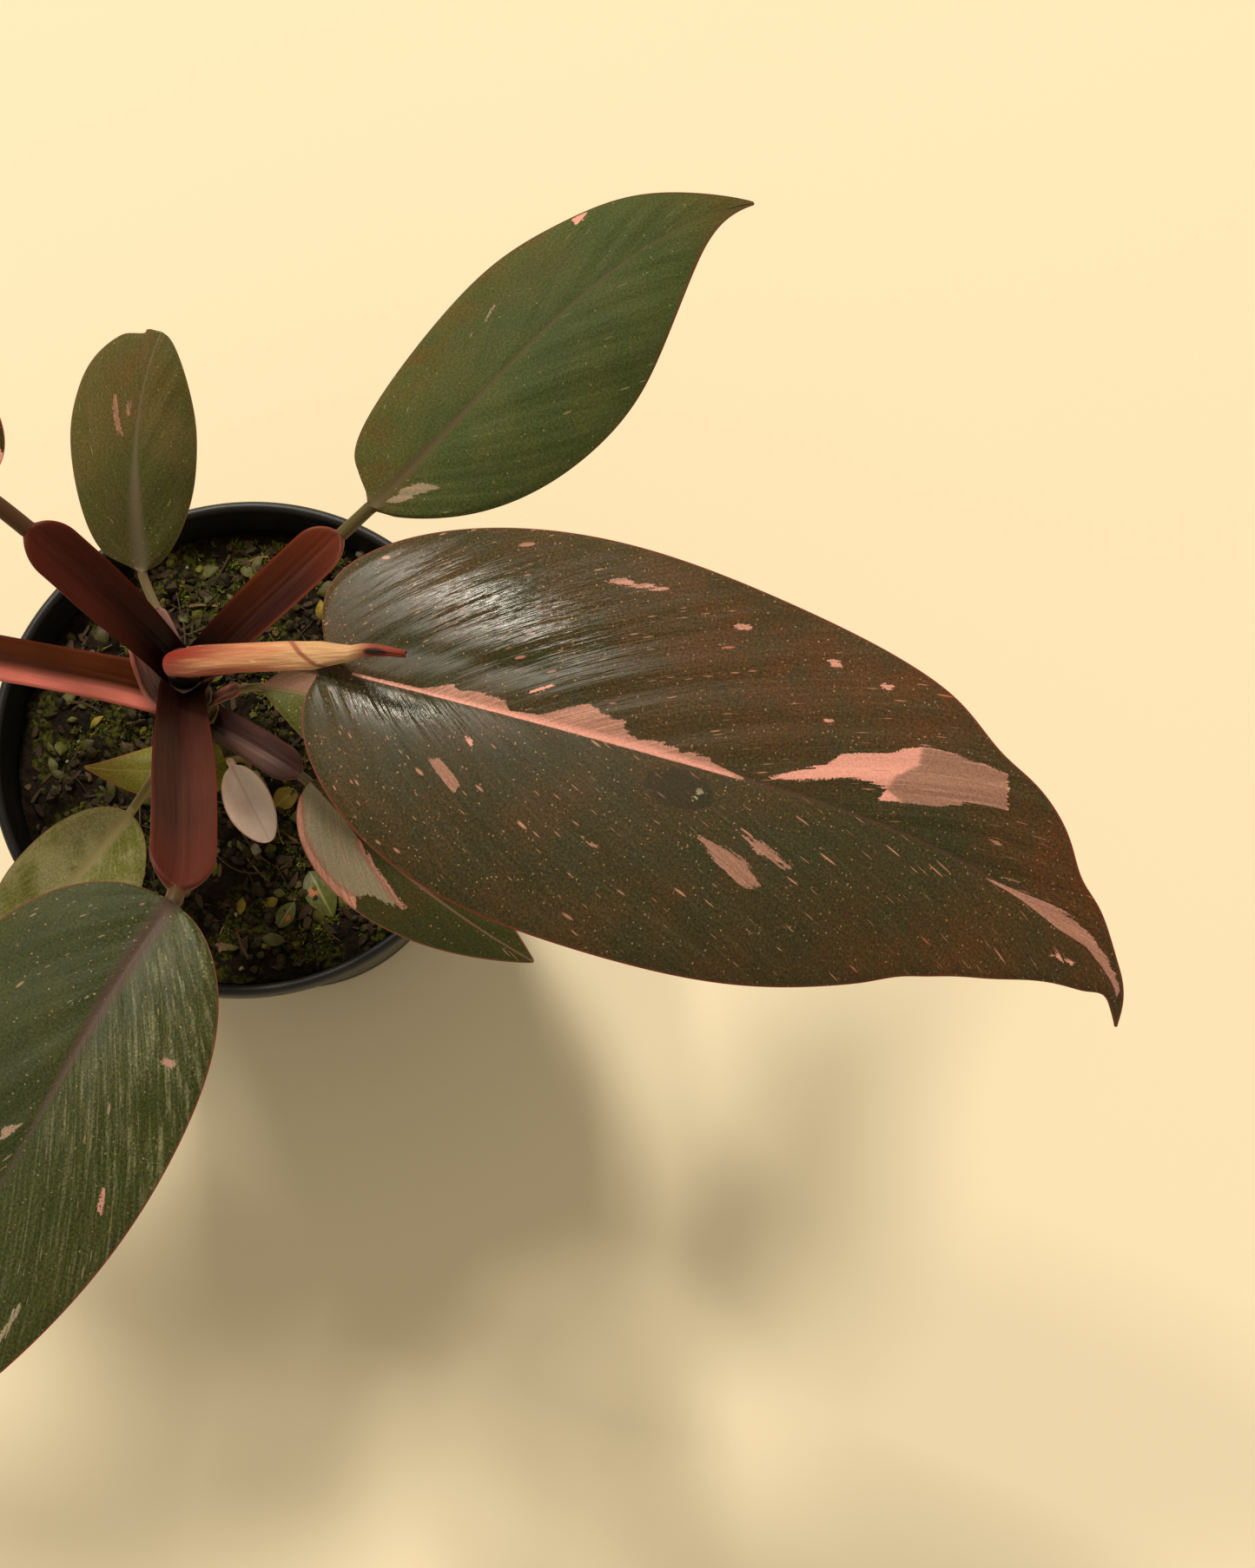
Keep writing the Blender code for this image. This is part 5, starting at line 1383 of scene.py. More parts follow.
def scatter_material(name, first, second, roughness, grain, third=None):
    """Litter: each bit drawn between two colours by its own number, with a grain and a darker mottle."""
    s = Shading(name)
    place = s.object_place()
    draw = s.attribute("draw")
    noise = s.noise(place, grain, 4.0, 0.6)
    color = s.mix(draw, first, second)
    if third is not None:
        color = s.mix(s.span(draw, 0.82, 0.9), color, third)
    color = s.mix(s.span(noise, 0.35, 0.75, 0.0, 0.5), color, (0.01, 0.008, 0.005))
    return s.finish(color, roughness, s.bump(noise, 0.3), 0.4)


def floor_material():
    """Plain pale board with a trace of tooth."""
    look = settings().stage
    s = Shading("pale floor")
    place = s.object_place()
    cloud = s.noise(place, 0.004, 3.0)
    color = s.mix(s.scaled(cloud, 0.10), look.floor[:], rgb(240, 216, 168))
    return s.finish(color, 0.7, s.bump(s.noise(place, 0.8, 3.0), 0.03), 0.2)


# Sheaths, stem, pot and soil


def sheath_faces(sheath):
    """Upper and lower points of a sheath: a channel or hood of varying width with its tip curled up.

    Across it the section is an arc whose opening angle grows toward the tip. Long wrinkles are waves
    across the width that drift along it.
    """
    rows, columns = sheath.grid
    t = np.linspace(0, 1, rows + 1)
    w = np.linspace(-1, 1, 2 * columns + 1)
    path, tangents, length = bezier(sheath.path, t)
    roll = np.radians(between(sheath.twist, t))
    side, up = frames(tangents, np.arctan2(tangents[:, 1], tangents[:, 0]), roll)
    half = np.interp(t, np.linspace(0, 1, len(sheath.widths)), sheath.widths) / 2
    curl = np.clip((t - 0.84) / 0.16, 0, 1)
    path = path + up * (sheath.tip_curl * np.sin(curl * math.pi) * 0.6)[:, None]
    angle = w[None, :] * (0.9 + 0.5 * curl[:, None]) * math.pi / 2 * np.sign(sheath.hood)
    radius = half[:, None]
    y = radius * np.sin(np.abs(angle)) * np.sign(w)[None, :]
    z = radius * (1 - np.cos(angle)) * 2 * sheath.hood
    drift = 1.6 * np.sin(4.2 * t)[:, None]
    wrinkle = 0.10 * np.sin(7.0 * w[None, :] + 3.0 * drift) + 0.04 * np.sin(17.0 * w[None, :] - 5.0 * drift)
    wrinkle = wrinkle * (1 - 0.5 * np.abs(w[None, :])) * ease(t / 0.1)[:, None]
    normal_y = -np.sin(angle) * abs(sheath.hood) * 1.4
    normal_z = np.cos(angle) + 0.25
    size = np.hypot(normal_y, normal_z)
    normal = side[:, None] * (normal_y / size)[..., None] + up[:, None] * (normal_z / size)[..., None]
    middle = path[:, None] + side[:, None] * y[..., None] + up[:, None] * z[..., None]
    middle = middle + normal * wrinkle[..., None]
    t_grid, w_grid = np.meshgrid(t, w, indexing="ij")
    place = np.stack([t_grid, w_grid, t_grid * length], -1)
    thick = 0.22 + 0.1 * bell(w / 0.3)[None, :, None]
    return middle + normal * thick, middle - normal * thick, place


def make_sheath(sheath, material):
    """One sheath as a thin closed skin."""
    upper, lower, place = sheath_faces(sheath)
    rows, columns = upper.shape[:2]
    points = both_sides(upper, lower)
    under = np.repeat([0.0, 1.0], rows * columns)
    values = {"place": np.tile(place.reshape(-1, 3), (2, 1)), "under": under}
    piece = new_object(sheath.name + "_skin", points, closed_faces(rows, columns), [material], values)
    ride_and_replace(piece, sheath.slot, sheath.name)


def turned(profile, sides):
    """Points of a profile of (radius, height) turned round the vertical axis, and its faces.

    Both ends of the profile lie on the axis and close in fans.
    """
    profile = np.array(profile, float)
    turn = round_angles(sides)
    inner = profile[1:-1]
    radius, height = inner[:, :1], np.repeat(inner[:, 1:], sides, 1)
    ring = np.stack([radius * np.cos(turn), radius * np.sin(turn), height], -1)
    points = np.concatenate([ring.reshape(-1, 3), [[0, 0, profile[0, 1]]], [[0, 0, profile[-1, 1]]]])
    quads = grid_quads(len(inner), sides, wrap=True)[:, ::-1]
    low, high = len(points) - 2, len(points) - 1
    first = np.arange(sides)
    last = first + sides * (len(inner) - 1)
    return points, [quads, fan(low, first)[:, ::-1], fan(high, last)]


def pot_radius(height):
    """Outer radius of the pot's wall at a height."""
    wall_top = RIM_RADIUS - RIM_ROLL_WIDTH + POT_WALL
    return FOOT_RADIUS + (wall_top - FOOT_RADIUS) * height / POT_HEIGHT


def arc(middle, radius, start, end, steps):
    """Points of an arc in a profile, from a start to an end angle in degrees."""
    angle = np.radians(np.linspace(start, end, steps))
    return [(middle[0] + radius * math.cos(a), middle[1] + radius * math.sin(a)) for a in angle]


def pot_profile():
    """Outline of the pot's wall from the middle of its underside round the rim to the middle of its floor.

    The rim is a lip rolled over outward, and the wall has two faint steps where the pot is stacked.
    """
    top = POT_HEIGHT
    under = top - RIM_ROLL_HEIGHT
    profile = [(0, 0), (FOOT_RADIUS - 6, 0), (FOOT_RADIUS - 1.5, 0)]
    profile += arc((FOOT_RADIUS - 1.5, 1.5), 1.5, -80, -10, 6)
    heights = np.concatenate([np.linspace(3, under - 8, 22), under - 8 + np.array([0.4, 0.8, 7.2])])
    steps = 0.35 * ease((heights - under + 8) / 0.8) + 0.25 * ease((heights - 14) / 0.8) - 0.6
    profile += [(pot_radius(h) + step, h) for h, step in zip(heights, steps)]
    profile += [(pot_radius(under), under), (RIM_RADIUS - 0.9, under)]
    profile += arc((RIM_RADIUS - 0.6, under + 0.6), 0.6, -80, 0, 5)
    profile += arc((RIM_RADIUS - 1.3, top - 1.3), 1.3, 0, 180, 14)
    profile += [(RIM_RADIUS - RIM_ROLL_WIDTH - 0.1, top - 3.0)]
    profile += [(pot_radius(h) - POT_WALL, h) for h in np.linspace(under - 2, POT_FLOOR + 0.8, 14)]
    inside = pot_radius(POT_FLOOR) - POT_WALL
    profile += arc((inside - 0.8, POT_FLOOR + 0.8), 0.8, -20, -90, 4)
    profile += [(inside - 5, POT_FLOOR), (0, POT_FLOOR)]
    return profile


def make_pot():
    """The pot with round drain holes cut through its floor."""
    material = pot_material()
    points, faces = turned(pot_profile(), POT_SIDES)
    pot = new_object("nursery_pot", points, faces, [material], sharp=POT_SHARP_ANGLE)
    for k in range(DRAIN_HOLES):
        turn = 2 * math.pi * (k + 0.5) / DRAIN_HOLES
        place = (DRAIN_HOLE_CIRCLE * math.cos(turn), DRAIN_HOLE_CIRCLE * math.sin(turn), 0)
        shape, shape_faces = turned([(0, -2), (DRAIN_HOLE_RADIUS, -2), (DRAIN_HOLE_RADIUS, POT_FLOOR + 2),
                                     (0, POT_FLOOR + 2)], 40)
        cutter = new_object("drain_hole", shape + place, shape_faces, [material])
        hole = pot.modifiers.new("drain_hole", "BOOLEAN")
        hole.operation = "DIFFERENCE"
        hole.object = cutter
        shaped = bpy.data.meshes.new_from_object(pot.evaluated_get(bpy.context.evaluated_depsgraph_get()))
        pot.modifiers.clear()
        pot.data = shaped
        bpy.data.objects.remove(cutter)
    pot.data.shade_smooth()
    pot.data.set_sharp_from_angle(angle=math.radians(POT_SHARP_ANGLE))
    ride_and_replace(pot, "black_plastic", "pot")


def distance_from(x, y, place):
    """Distance of points from a place, both seen from above."""
    return np.hypot(x - place[0], y - place[1])


def soil_height(x, y):
    """Height of the soil's surface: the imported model's lumps with crumbs of four sizes on them.

    Crumbs are folded noise, so that they stand up round and meet in sharp gaps.
    """
    lumps = np.sin(0.31 * x + 0.9) * np.cos(0.27 * y - 0.4) + 0.6 * np.sin(0.53 * x - 0.47 * y + 2.0)
    lumps = lumps + 0.4 * np.cos(0.83 * x + 0.71 * y)
    radius = np.hypot(x, y)
    from_stem = distance_from(x, y, STEM_FOOT_PLACE)
    shore = ease((55.0 - radius) / 8.0) * ease((from_stem - 6.0) / 6.0)
    height = SOIL_HEIGHT + SOIL_RELIEF * lumps / 2 * shore - 0.6 * ease((radius - 46) / 10)
    for size, depth, seed in SOIL_CRUMBS:
        height = height + depth * (0.45 - np.abs(lattice_noise(x, y, size, seed)))
    return height


def soil_radius(height):
    """Radius of the soil at a height, clear of the pot's wall."""
    return pot_radius(height) - POT_WALL - CLEARANCE - 0.1


def make_soil():
    """The soil: a closed body whose top follows soil_height, in rings from the wall to the middle."""
    outer = soil_radius(SOIL_HEIGHT)
    low = POT_FLOOR + CLEARANCE
    rings = outer * np.linspace(1, 0, SOIL_RINGS + 1)[:-1]
    profile = [(0, low), (soil_radius(low), low), (outer - 0.6, SOIL_HEIGHT - 3.4)]
    profile += [(radius, SOIL_HEIGHT) for radius in rings] + [(0, SOIL_HEIGHT)]
    points, faces = turned(profile, SOIL_SIDES)
    on_top = points[:, 2] >= SOIL_HEIGHT - 0.01
    radius = np.hypot(points[:, 0], points[:, 1])
    height = soil_height(points[:, 0], points[:, 1]) - 0.5 * ease((radius - outer + 1.2) / 1.2)
    points[:, 2] = np.where(on_top, height, points[:, 2])
    piece = new_object("soil_bed", points, faces, [soil_material()], sharp=80.0)
    ride_and_replace(piece, "soil", "soil")


def bit_frames(rng, count, tilt):
    """Random frames for bits that lie about: a turn round the vertical and a small tilt of each."""
    turn = rng.uniform(0, 2 * np.pi, count)
    lean = rng.normal(0, tilt, count)
    tip = rng.normal(0, tilt, count)
    x_axis = np.stack([np.cos(turn), np.sin(turn), lean], -1)
    y_axis = np.stack([-np.sin(turn), np.cos(turn), tip], -1)
    x_axis = unit(x_axis)
    y_axis -= x_axis * (x_axis * y_axis).sum(1, keepdims=True)
    y_axis = unit(y_axis)
    return x_axis, y_axis, np.cross(x_axis, y_axis)


def soil_places(rng, count, reach=LITTER_REACH):
    """Random places on the soil, clear of the stem and the side shoot."""
    radius = reach * np.sqrt(rng.uniform(0, 1, count * 3))
    turn = rng.uniform(0, 2 * np.pi, count * 3)
    x, y = radius * np.cos(turn), radius * np.sin(turn)
    clear = distance_from(x, y, STEM_FOOT_PLACE) > STEM_ROOM
    clear &= distance_from(x, y, SHOOT_PLACE) > SHOOT_ROOM
    return np.stack([x[clear], y[clear]], -1)[:count]


def clump_places(rng, count, choices, size, seed):
    """Places gathered in clumps: of many random ones, those where a slow noise is highest."""
    places = soil_places(rng, count * choices, CLUMP_REACH)
    crowd = lattice_noise(*places.T, size, seed) + rng.uniform(-0.5, 0.5, len(places))
    return places[np.argsort(-crowd)[:count]]


def one_piece(name, shapes, places, axes, faces, draw, material):
    """One object of many bits: shapes holds each bit's own points, turned to its axes and set down."""
    bits = sum(shapes[..., k:k + 1] * axis[:, None] for k, axis in enumerate(axes)) + places[:, None]
    count, size = shapes.shape[:2]
    first = size * np.arange(count)[:, None, None]
    rows = [(face[None] + first).reshape(-1, face.shape[1]) for face in faces]
    values = {"draw": np.repeat(draw, size)}
    piece = new_object(name, bits.reshape(-1, 3), rows, [material], values)
    ride_and_replace(piece, "soil")


def scatter(rng, name, shapes, faces, places, tilt):
    """Bits that lie about in random frames, each with its own draw between the litter's colours."""
    count = len(shapes)
    axes = bit_frames(rng, count, tilt)
    one_piece(name, shapes, places, axes, faces, rng.uniform(0, 1, count), scatter_material(*LITTER[name]))


def on_soil(places, lift):
    """Points at places on the soil's surface, raised by a lift."""
    return np.column_stack([places, soil_height(*places.T) + lift])


def make_bark(rng, count):
    """Bark bits: six-sided splinters of random length, width and thickness, half sunk in the soil."""
    turn = round_angles(6)
    ring = np.stack([np.cos(turn), np.sin(turn)], -1)
    size = np.stack([rng.uniform(0.7, 2.6, count) ** 1.2, rng.uniform(0.35, 1.3, count)], -1)
    outline = ring[None] * rng.uniform(0.6, 1.2, (count, 6, 1)) * size[:, None]
    thick = rng.uniform(0.2, 0.7, (count, 1)) * rng.uniform(0.7, 1.3, (count, 6))
    low = np.concatenate([outline, -thick[..., None]], -1)
    high = np.concatenate([outline * 0.86, thick[..., None]], -1)
    shapes = np.concatenate([low, high], 1)
    index = np.arange(6)
    side = np.stack([index, np.roll(index, -1), np.roll(index, -1) + 6, index + 6], -1)
    faces = [side, index[None, ::-1], index[None] + 6]
    places = on_soil(soil_places(rng, count), rng.uniform(-0.2, 0.5, count))
    scatter(rng, "bark_bits", shapes, faces, places, 0.35)


def tube_bits(length, radius, bend, steps, sides):
    """Thin bent tubes: rings along an arc that rises as the square of the distance from its middle."""
    s = np.linspace(-0.5, 0.5, steps)
    turn = round_angles(sides)
    taper = radius[:, None] * (1 - 0.5 * (s + 0.5))[None]
    x = np.repeat((length[:, None] * s)[..., None], sides, 2)
    arch = bend[:, None, None] * (4 * s**2 - 1)[None, :, None] * length[:, None, None]
    y = arch + taper[..., None] * np.cos(turn)
    z = taper[..., None] * np.sin(turn) + np.zeros_like(x)
    points = np.stack([x, y, z], -1).reshape(len(length), steps * sides, 3)
    faces = grid_quads(steps, sides, wrap=True)[:, ::-1]
    first = np.arange(sides)
    return points, [faces, first[None], first[None, ::-1] + sides * (steps - 1)]


def make_twigs(rng, count):
    """Twigs and root ends: thin bent tubes that lie on the soil."""
    length = rng.uniform(4, 15, count)
    points, faces = tube_bits(length, rng.uniform(0.16, 0.5, count), rng.normal(0, 0.10, count), 6, 5)
    places = on_soil(soil_places(rng, count, 48), rng.uniform(0.2, 0.8, count))
    scatter(rng, "twigs", points, faces, places, 0.12)


def lump_bits(rng, radius):
    """Round grains: balls of four rings of eight points and two poles, with points pushed in and out."""
    turn = round_angles(8)
    rise = np.radians([-60, -20, 20, 60])[:, None]
    ring = np.stack([np.cos(rise) * np.cos(turn), np.cos(rise) * np.sin(turn), np.sin(rise) + 0 * turn], -1)
    ball = np.concatenate([ring.reshape(-1, 3), [[0, 0, -1]], [[0, 0, 1]]])
    count = len(radius)
    points = ball[None] * radius[:, None, None] * rng.uniform(0.75, 1.2, (count, 34, 1))
    first = np.arange(8)
    return points, [grid_quads(4, 8, wrap=True)[:, ::-1], fan(32, first)[:, ::-1], fan(33, first + 24)]


def make_crumbs(rng, count):
    """Crumbs: round lumps of potting mix and moss, in clumps."""
    places = clump_places(rng, count, 3, 6.0, 29)
    radius = rng.uniform(0.5, 1.5, count)
    points, faces = lump_bits(rng, radius)
    scatter(rng, "crumbs", points, faces, on_soil(places, radius * 0.3), 0.3)


def make_scraps(rng, count):
    """Scraps of old leaves: small pointed ovals, bowed along their length and across."""
    u, w = small_grid(6, 5)
    length = rng.uniform(2.5, 6.5, (count, 1, 1))
    half = length * rng.uniform(0.16, 0.34, (count, 1, 1))
    x = (u - 0.5) * length
    y = (np.sin(np.pi * u) ** 0.8 + 0.04) * w * half
    z = rng.uniform(0.04, 0.2, (count, 1, 1)) * length * (1 - (2 * u - 1) ** 2) - 0.2 * half * w**2
    shapes = np.concatenate(thin_skin(x, y, z, 0.08), 1).reshape(count, -1, 3)
    places = on_soil(soil_places(rng, count, 50), rng.uniform(0.3, 1.2, count))
    scatter(rng, "leaf_scraps", shapes, closed_faces(6, 5), places, 0.3)


def make_perlite(rng, count):
    """Grains of perlite, two of them in known places."""
    places = np.concatenate([[place[:2] for place in PERLITE_PLACES], soil_places(rng, count)])
    radius = np.concatenate([[place[2] for place in PERLITE_PLACES], rng.uniform(0.3, 0.7, count)])
    points, faces = lump_bits(rng, radius)
    scatter(rng, "perlite", points, faces, on_soil(places, radius * 0.5), 0.3)


def make_moss(rng, count):
    """Moss: tufts of narrow pointed leaves that lean outward, in clumps."""
    places = clump_places(rng, count, 4, 9.0, 23)
    blades = 13
    total = count * blades
    turn = rng.uniform(0, 2 * np.pi, total)
    lean = rng.uniform(0.15, 1.1, total)
    length = rng.uniform(0.7, 1.9, total) * np.repeat(rng.uniform(0.7, 1.35, count), blades)
    width = rng.uniform(0.10, 0.19, total) * length
    run = np.array([0.0, 0.5, 1.0])
    out = np.sin(lean)[:, None] * run * length[:, None] * (0.6 + 0.4 * run)
    rise = np.cos(lean)[:, None] * run * length[:, None] * (1.1 - 0.35 * run)
    broad = width[:, None] * np.array([0.5, 1.0, 0.0])
    left = np.stack([out, broad, rise], -1)
    right = np.stack([out, -broad, rise], -1)
    keel = np.stack([out[:, 1] - 0.06, 0 * out[:, 1], rise[:, 1] - 0.08], -1)[:, None]
    shapes = np.concatenate([left[:, :2], right[:, :2], left[:, 2:], keel], 1)
    sides = np.array([[1, 3, 4], [0, 1, 5], [3, 2, 5], [1, 4, 5], [4, 3, 5], [2, 0, 5]])
    faces = [np.array([[0, 2, 3, 1]]), sides]
    middle = np.repeat(on_soil(places, -0.1), blades, 0)
    middle[:, :2] += rng.normal(0, 0.35, (total, 2))
    x_axis = np.stack([np.cos(turn), np.sin(turn), 0 * turn], -1)
    y_axis = np.stack([-np.sin(turn), np.cos(turn), 0 * turn], -1)
    z_axis = np.repeat([[0.0, 0.0, 1.0]], total, 0)
    draw = np.repeat(rng.uniform(0, 0.75, count), blades) + rng.uniform(0, 0.25, total)
    green = settings().soil.moss[:]
    material = scatter_material("moss", rgb(50, 58, 10), green, 0.6, 0.8, rgb(154, 150, 32))
    one_piece("moss", shapes, middle, (x_axis, y_axis, z_axis), faces, draw, material)


def fallen_material():
    """Fallen leaf skin: light olive with a pale midrib and a brown-orange spot, by place on the leaf."""
    s = Shading("fallen leaf skin")
    u, w, kind = s.parts("place")
    mottle = s.noise(s.stretched(u, w, 6.0, 4.0, kind), 1.0, 3.0)
    color = s.blend(mottle, rgb(72, 78, 24), rgb(96, 98, 38))
    color = s.mix(kind, color, rgb(132, 112, 20))
    rib = s.fade(s.absolute(w), 0.02, 0.12)
    color = s.over(color, rgb(170, 168, 96), rib, 0.5)
    away = s.plus(s.square(u, 3.2, -1.3), s.square(w, 1.2, 0.5))
    spot = s.fade(away, 0.04, 0.2)
    color = s.mix(s.times(spot, s.scaled(kind, -1.0, 1.0)), color, rgb(178, 104, 62))
    return s.finish(color, 0.5, s.bump(mottle, 0.2), 0.4)


def make_fallen(name, place, length, half, turn, kind, material):
    """A small fallen leaf: a pointed oval, bowed along and across, laid on the soil."""
    u, w = small_grid(22, 13)
    wide = half * np.sin(np.pi * u**0.85) ** 0.8 + 0.12
    x = (u - 0.5) * length
    y = wide * w
    z = 0.9 * (1 - (2 * u - 1) ** 2) - 0.10 * y**2 / half + 0.2 * np.abs(y)
    angle = math.radians(turn)
    px = place[0] + x * math.cos(angle) - y * math.sin(angle)
    py = place[1] + x * math.sin(angle) + y * math.cos(angle)
    ground = float(soil_height(np.array([place[0]]), np.array([place[1]]))[0]) + 0.9
    points = both_sides(*thin_skin(px, py, ground + z, 0.12))
    values = {"place": np.tile(np.stack([u, w, kind + 0 * u], -1).reshape(-1, 3), (2, 1))}
    piece = new_object(name, points, closed_faces(*u.shape), [material], values)
    ride_and_replace(piece, "green_leaf")


def stem_profile(top, radius_at, joints, tip):
    """Profile of a stem: its radius with a swelling at each joint and a thin groove above it."""
    heights = np.linspace(STEM_FOOT + 0.2, top - tip, 190)
    radius = np.array([float(radius_at(h)) for h in heights])
    for joint in joints:
        radius = radius + 0.22 * bell((heights - joint) / 1.3)
        radius = radius - 0.22 * bell((heights - joint - 1.6) / 0.35)
    profile = [(0, STEM_FOOT), (radius[0] - 0.2, STEM_FOOT)]
    profile += list(zip(radius - 0.12, heights))
    profile += [(radius[-1] * 0.9, top - tip * 0.4), (radius[-1] * 0.55, top - tip * 0.08), (0, top)]
    return profile


def make_stem():
    """The leaning stem, ringed where leaves leave it."""
    leaf_joints = sorted(leaf.root_height - JOINT_DROP for leaf in LEAVES if not leaf.on_shoot)
    joints = (*OLD_JOINTS, *leaf_joints)
    points, faces = turned(stem_profile(STEM_TOP + 0.5, stem_radius, joints, 2.4), 56)
    points[:, :2] += stem_axis(points[:, 2])[:, :2]
    material = stem_material("stem skin", rgb(82, 74, 42), rgb(104, 86, 54), joints)
    piece = new_object("ringed_stem", points, faces, [material], sharp=70.0)
    ride_and_replace(piece, "stem_skin", "stem")


def make_shoot():
    """The side shoot that carries the two tiny leaves."""
    profile = stem_profile(SHOOT_TOP, lambda height: SHOOT_RADIUS, SHOOT_JOINTS, 1.6)
    points, faces = turned(profile, 28)
    points += [*SHOOT_PLACE, 0.0]
    material = stem_material("shoot skin", rgb(128, 120, 66), rgb(144, 122, 82), SHOOT_JOINTS)
    piece = new_object("side_shoot_skin", points, faces, [material], sharp=70.0)
    ride_and_replace(piece, "shoot_skin", "side_shoot")


# Stage


CAMERA_TILT = 13.0
CAMERA_DISTANCE = 0.600
CAMERA_TARGET = (0.090, -0.010, 0.110)
SENSOR = 36.0
KEY_DIRECTION = (-0.213, 0.633, 0.74)
GLOSS_DIRECTION = (-0.369, 0.437, 0.82)
GLOSS_SIZE = 0.9
LIGHT_DISTANCE = 8.0
LIGHT_TARGET = (0.03, 0.0, 0.20)
FLOOR_SIZE = 6.0
LIGHT_COLOR = (1.0, 0.93, 0.80)
FILL_COLOR = (1.0, 0.88, 0.66)


def aim(thing, place, target):
    """Put a light or camera at a place, looking at a target."""
    ahead = np.array(target) - place
    ahead = ahead / np.linalg.norm(ahead)
    turn = math.atan2(ahead[0], -ahead[1])
    thing.location = place
    thing.rotation_euler = (math.acos(-ahead[2]), 0.0, math.pi - turn)


def make_camera():
    """Camera of the photograph's view: tilted from straight down, at arm's length."""
    tilt = math.radians(CAMERA_TILT)
    data = bpy.data.cameras.new("camera")
    data.sensor_width = SENSOR
    data.lens = settings().stage.focal
    camera = add_thing("camera", data)
    offset = np.array([0.0, -math.sin(tilt), math.cos(tilt)]) * CAMERA_DISTANCE
    camera.location = np.array(CAMERA_TARGET) + offset
    camera.rotation_euler = (tilt, 0.0, 0.0)
    bpy.context.scene.camera = camera


def area_light(name, power, size, heading):
    """A square light, LIGHT_DISTANCE away from the plant along a heading."""
    data = bpy.data.lights.new(name, "AREA")
    data.energy = power
    data.size = size
    data.color = LIGHT_COLOR
    away = np.array(heading) / np.linalg.norm(heading) * LIGHT_DISTANCE
    aim(add_thing(name, data), np.array(LIGHT_TARGET) + away, LIGHT_TARGET)


def make_lights():
    """A warm main light from the back, a smaller one beside it for gloss, and soft light all round."""
    look = settings().stage
    area_light("main light", look.key_power, look.key_size, KEY_DIRECTION)
    area_light("gloss light", look.gloss_power, GLOSS_SIZE, GLOSS_DIRECTION)
    world = bpy.data.worlds.new("soft studio")
    world.use_nodes = True
    back = world.node_tree.nodes["Background"]
    back.inputs["Color"].default_value = (*FILL_COLOR, 1.0)
    back.inputs["Strength"].default_value = look.fill
    bpy.context.scene.world = world
    bpy.context.scene.view_settings.view_transform = "Standard"


def make_floor():
    """A large plain square of floor at height zero."""
    side = FLOOR_SIZE / MM / 2
    points = np.array([(-side, -side, 0.0), (side, -side, 0.0), (side, side, 0.0), (-side, side, 0.0)])
    floor = new_object("floor", points, [np.array([[0, 1, 2, 3]])], [floor_material()])


# Operators, panel and settings


class Maker(bpy.types.Operator):
    """Shared by all makers."""

    bl_options = {"REGISTER", "UNDO"}


class PHILODENDRON_OT_pot(Maker):
    """Build the nursery pot."""

    bl_idname = "philodendron.pot"
    bl_label = "Pot"

    def execute(self, context):
        make_pot()
        return {"FINISHED"}


class PHILODENDRON_OT_soil(Maker):
    """Build the soil with its bark, twigs, perlite, moss, crumbs, scraps and fallen leaves."""

    bl_idname = "philodendron.soil"
    bl_label = "Soil and litter"

    def execute(self, context):
        look = settings().soil
        rng = np.random.default_rng(look.seed)
        make_soil()
        make_bark(rng, look.bark_bits)
        make_twigs(rng, look.twigs)
        make_perlite(rng, look.perlite)
        make_moss(rng, look.moss_tufts)
        make_crumbs(rng, look.crumbs)
        make_scraps(rng, look.scraps)
        material = fallen_material()
        for row in FALLEN:
            make_fallen(*row, material)
        return {"FINISHED"}


class PHILODENDRON_OT_stem(Maker):
    """Build the stem and the side shoot."""

    bl_idname = "philodendron.stem"
    bl_label = "Stem and shoot"

    def execute(self, context):
        make_stem()
        make_shoot()
        return {"FINISHED"}


class PHILODENDRON_OT_leaves(Maker):
    """Build every leaf with its stalk."""

    bl_idname = "philodendron.leaves"
    bl_label = "Leaves"

    def execute(self, context):
        for leaf in LEAVES:
            make_leaf(leaf, SKINS[leaf.name])
        return {"FINISHED"}


class PHILODENDRON_OT_sheaths(Maker):
    """Build the dry sheath and the young sheath."""

    bl_idname = "philodendron.sheaths"
    bl_label = "Sheaths"

    def execute(self, context):
        for sheath, material in zip(SHEATHS, (dry_material(), young_material())):
            make_sheath(sheath, material)
        return {"FINISHED"}


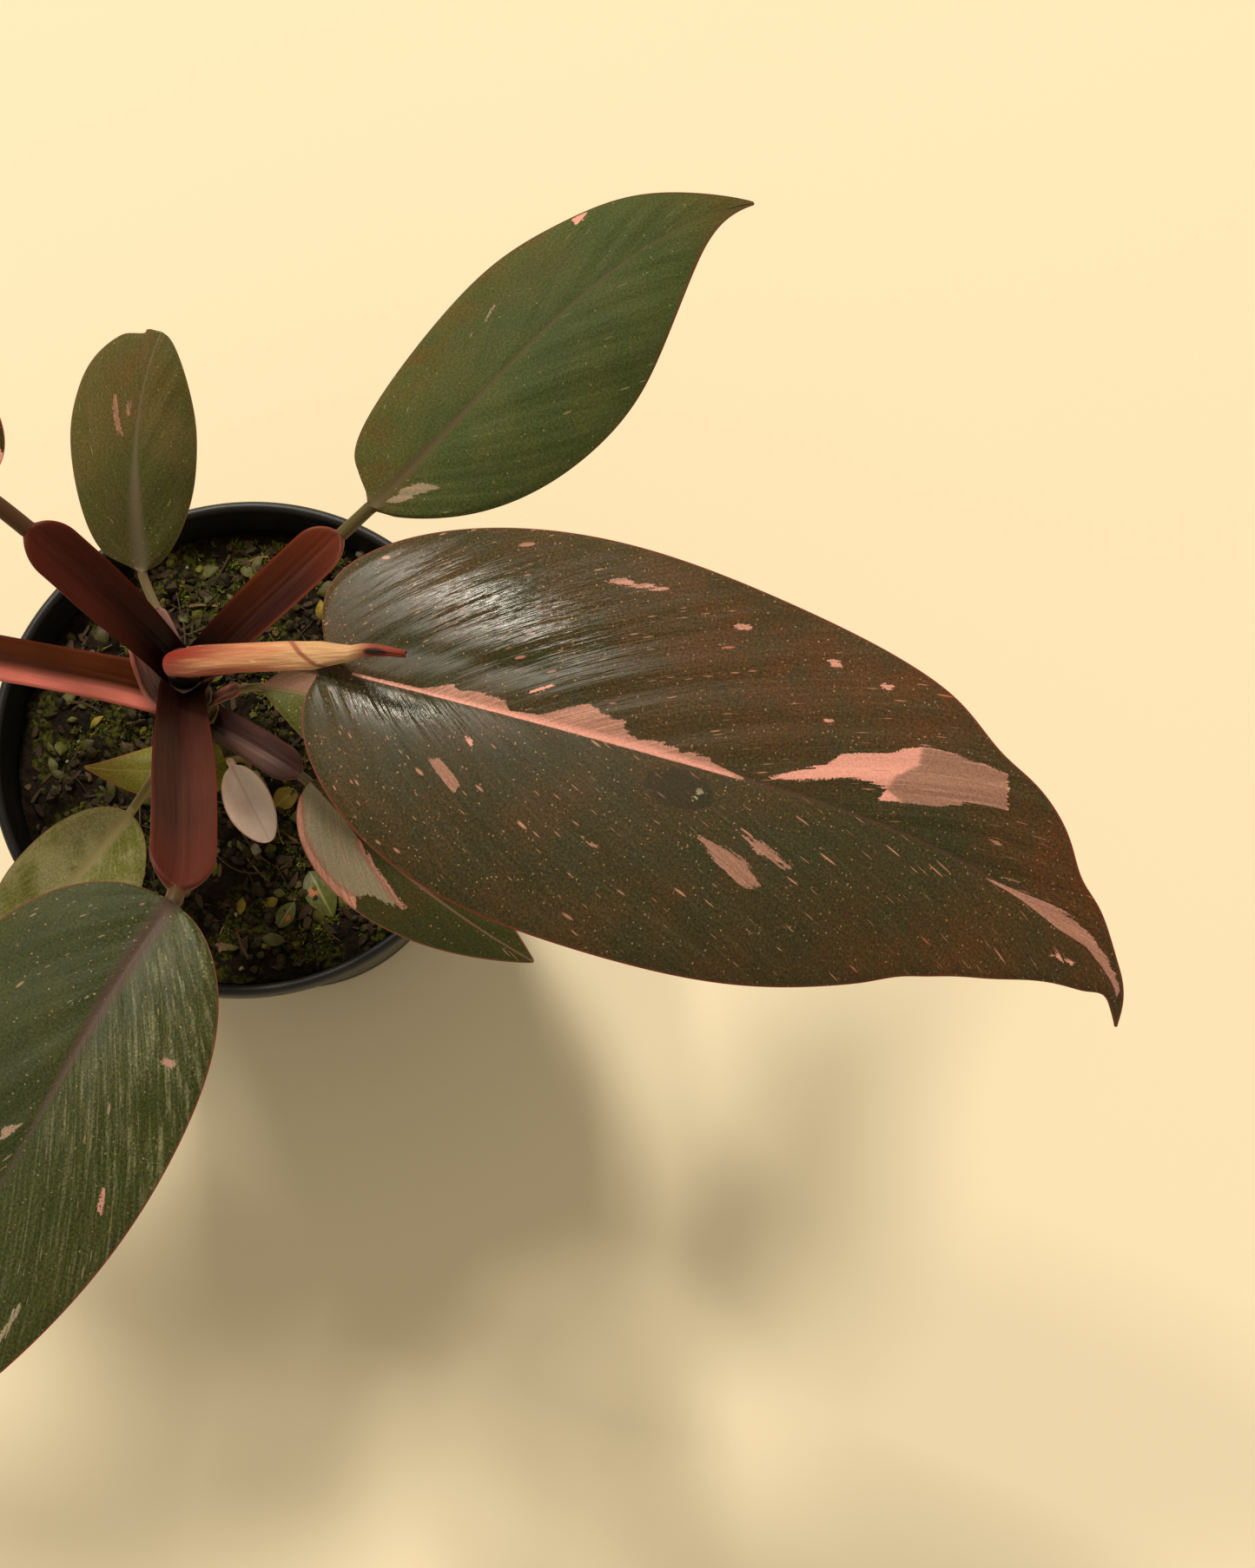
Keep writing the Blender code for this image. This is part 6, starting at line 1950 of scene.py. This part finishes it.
class PHILODENDRON_OT_stage(Maker):
    """Build the floor, the lights and the camera."""

    bl_idname = "philodendron.stage"
    bl_label = "Floor, light and camera"

    def execute(self, context):
        make_floor()
        make_lights()
        make_camera()
        return {"FINISHED"}


OPERATORS = (PHILODENDRON_OT_stage, PHILODENDRON_OT_pot, PHILODENDRON_OT_soil, PHILODENDRON_OT_stem,
             PHILODENDRON_OT_leaves, PHILODENDRON_OT_sheaths)


class PlantSettings(bpy.types.PropertyGroup):
    """All settings of the potted plant."""

    leaves: bpy.props.PointerProperty(
        type=LeafSettings, name="Leaves", description="Sizes and colours of leaves")
    pot: bpy.props.PointerProperty(type=PotSettings, name="Pot", description="Finish of the pot")
    soil: bpy.props.PointerProperty(type=SoilSettings, name="Soil", description="Soil and litter")
    stage: bpy.props.PointerProperty(
        type=StageSettings, name="Stage", description="Floor, light and camera")


class PHILODENDRON_PT_panel(bpy.types.Panel):
    """Lists the makers and their settings."""

    bl_idname = "PHILODENDRON_PT_panel"
    bl_label = "Potted philodendron"
    bl_space_type = "VIEW_3D"
    bl_region_type = "UI"
    bl_category = "Philodendron"

    def draw(self, context):
        layout = self.layout
        for operator in OPERATORS:
            layout.operator(operator.bl_idname)
        for group in (settings().leaves, settings().pot, settings().soil, settings().stage):
            box = layout.box()
            for key in group.__annotations__:
                box.prop(group, key)


CLASSES = (LeafSettings, PotSettings, SoilSettings, StageSettings, PlantSettings, *OPERATORS,
           PHILODENDRON_PT_panel)


def register():
    """Add the classes and the settings."""
    for cls in CLASSES:
        bpy.utils.register_class(cls)
    bpy.types.Scene.philodendron = bpy.props.PointerProperty(type=PlantSettings)


def unregister():
    """Take the settings and the classes away again."""
    del bpy.types.Scene.philodendron
    for cls in reversed(CLASSES):
        bpy.utils.unregister_class(cls)


def main():
    """Register the classes and build every piece."""
    register()
    bpy.ops.philodendron.stage()
    bpy.ops.philodendron.pot()
    bpy.ops.philodendron.soil()
    bpy.ops.philodendron.stem()
    bpy.ops.philodendron.leaves()
    bpy.ops.philodendron.sheaths()


if __name__ == "__main__":
    main()
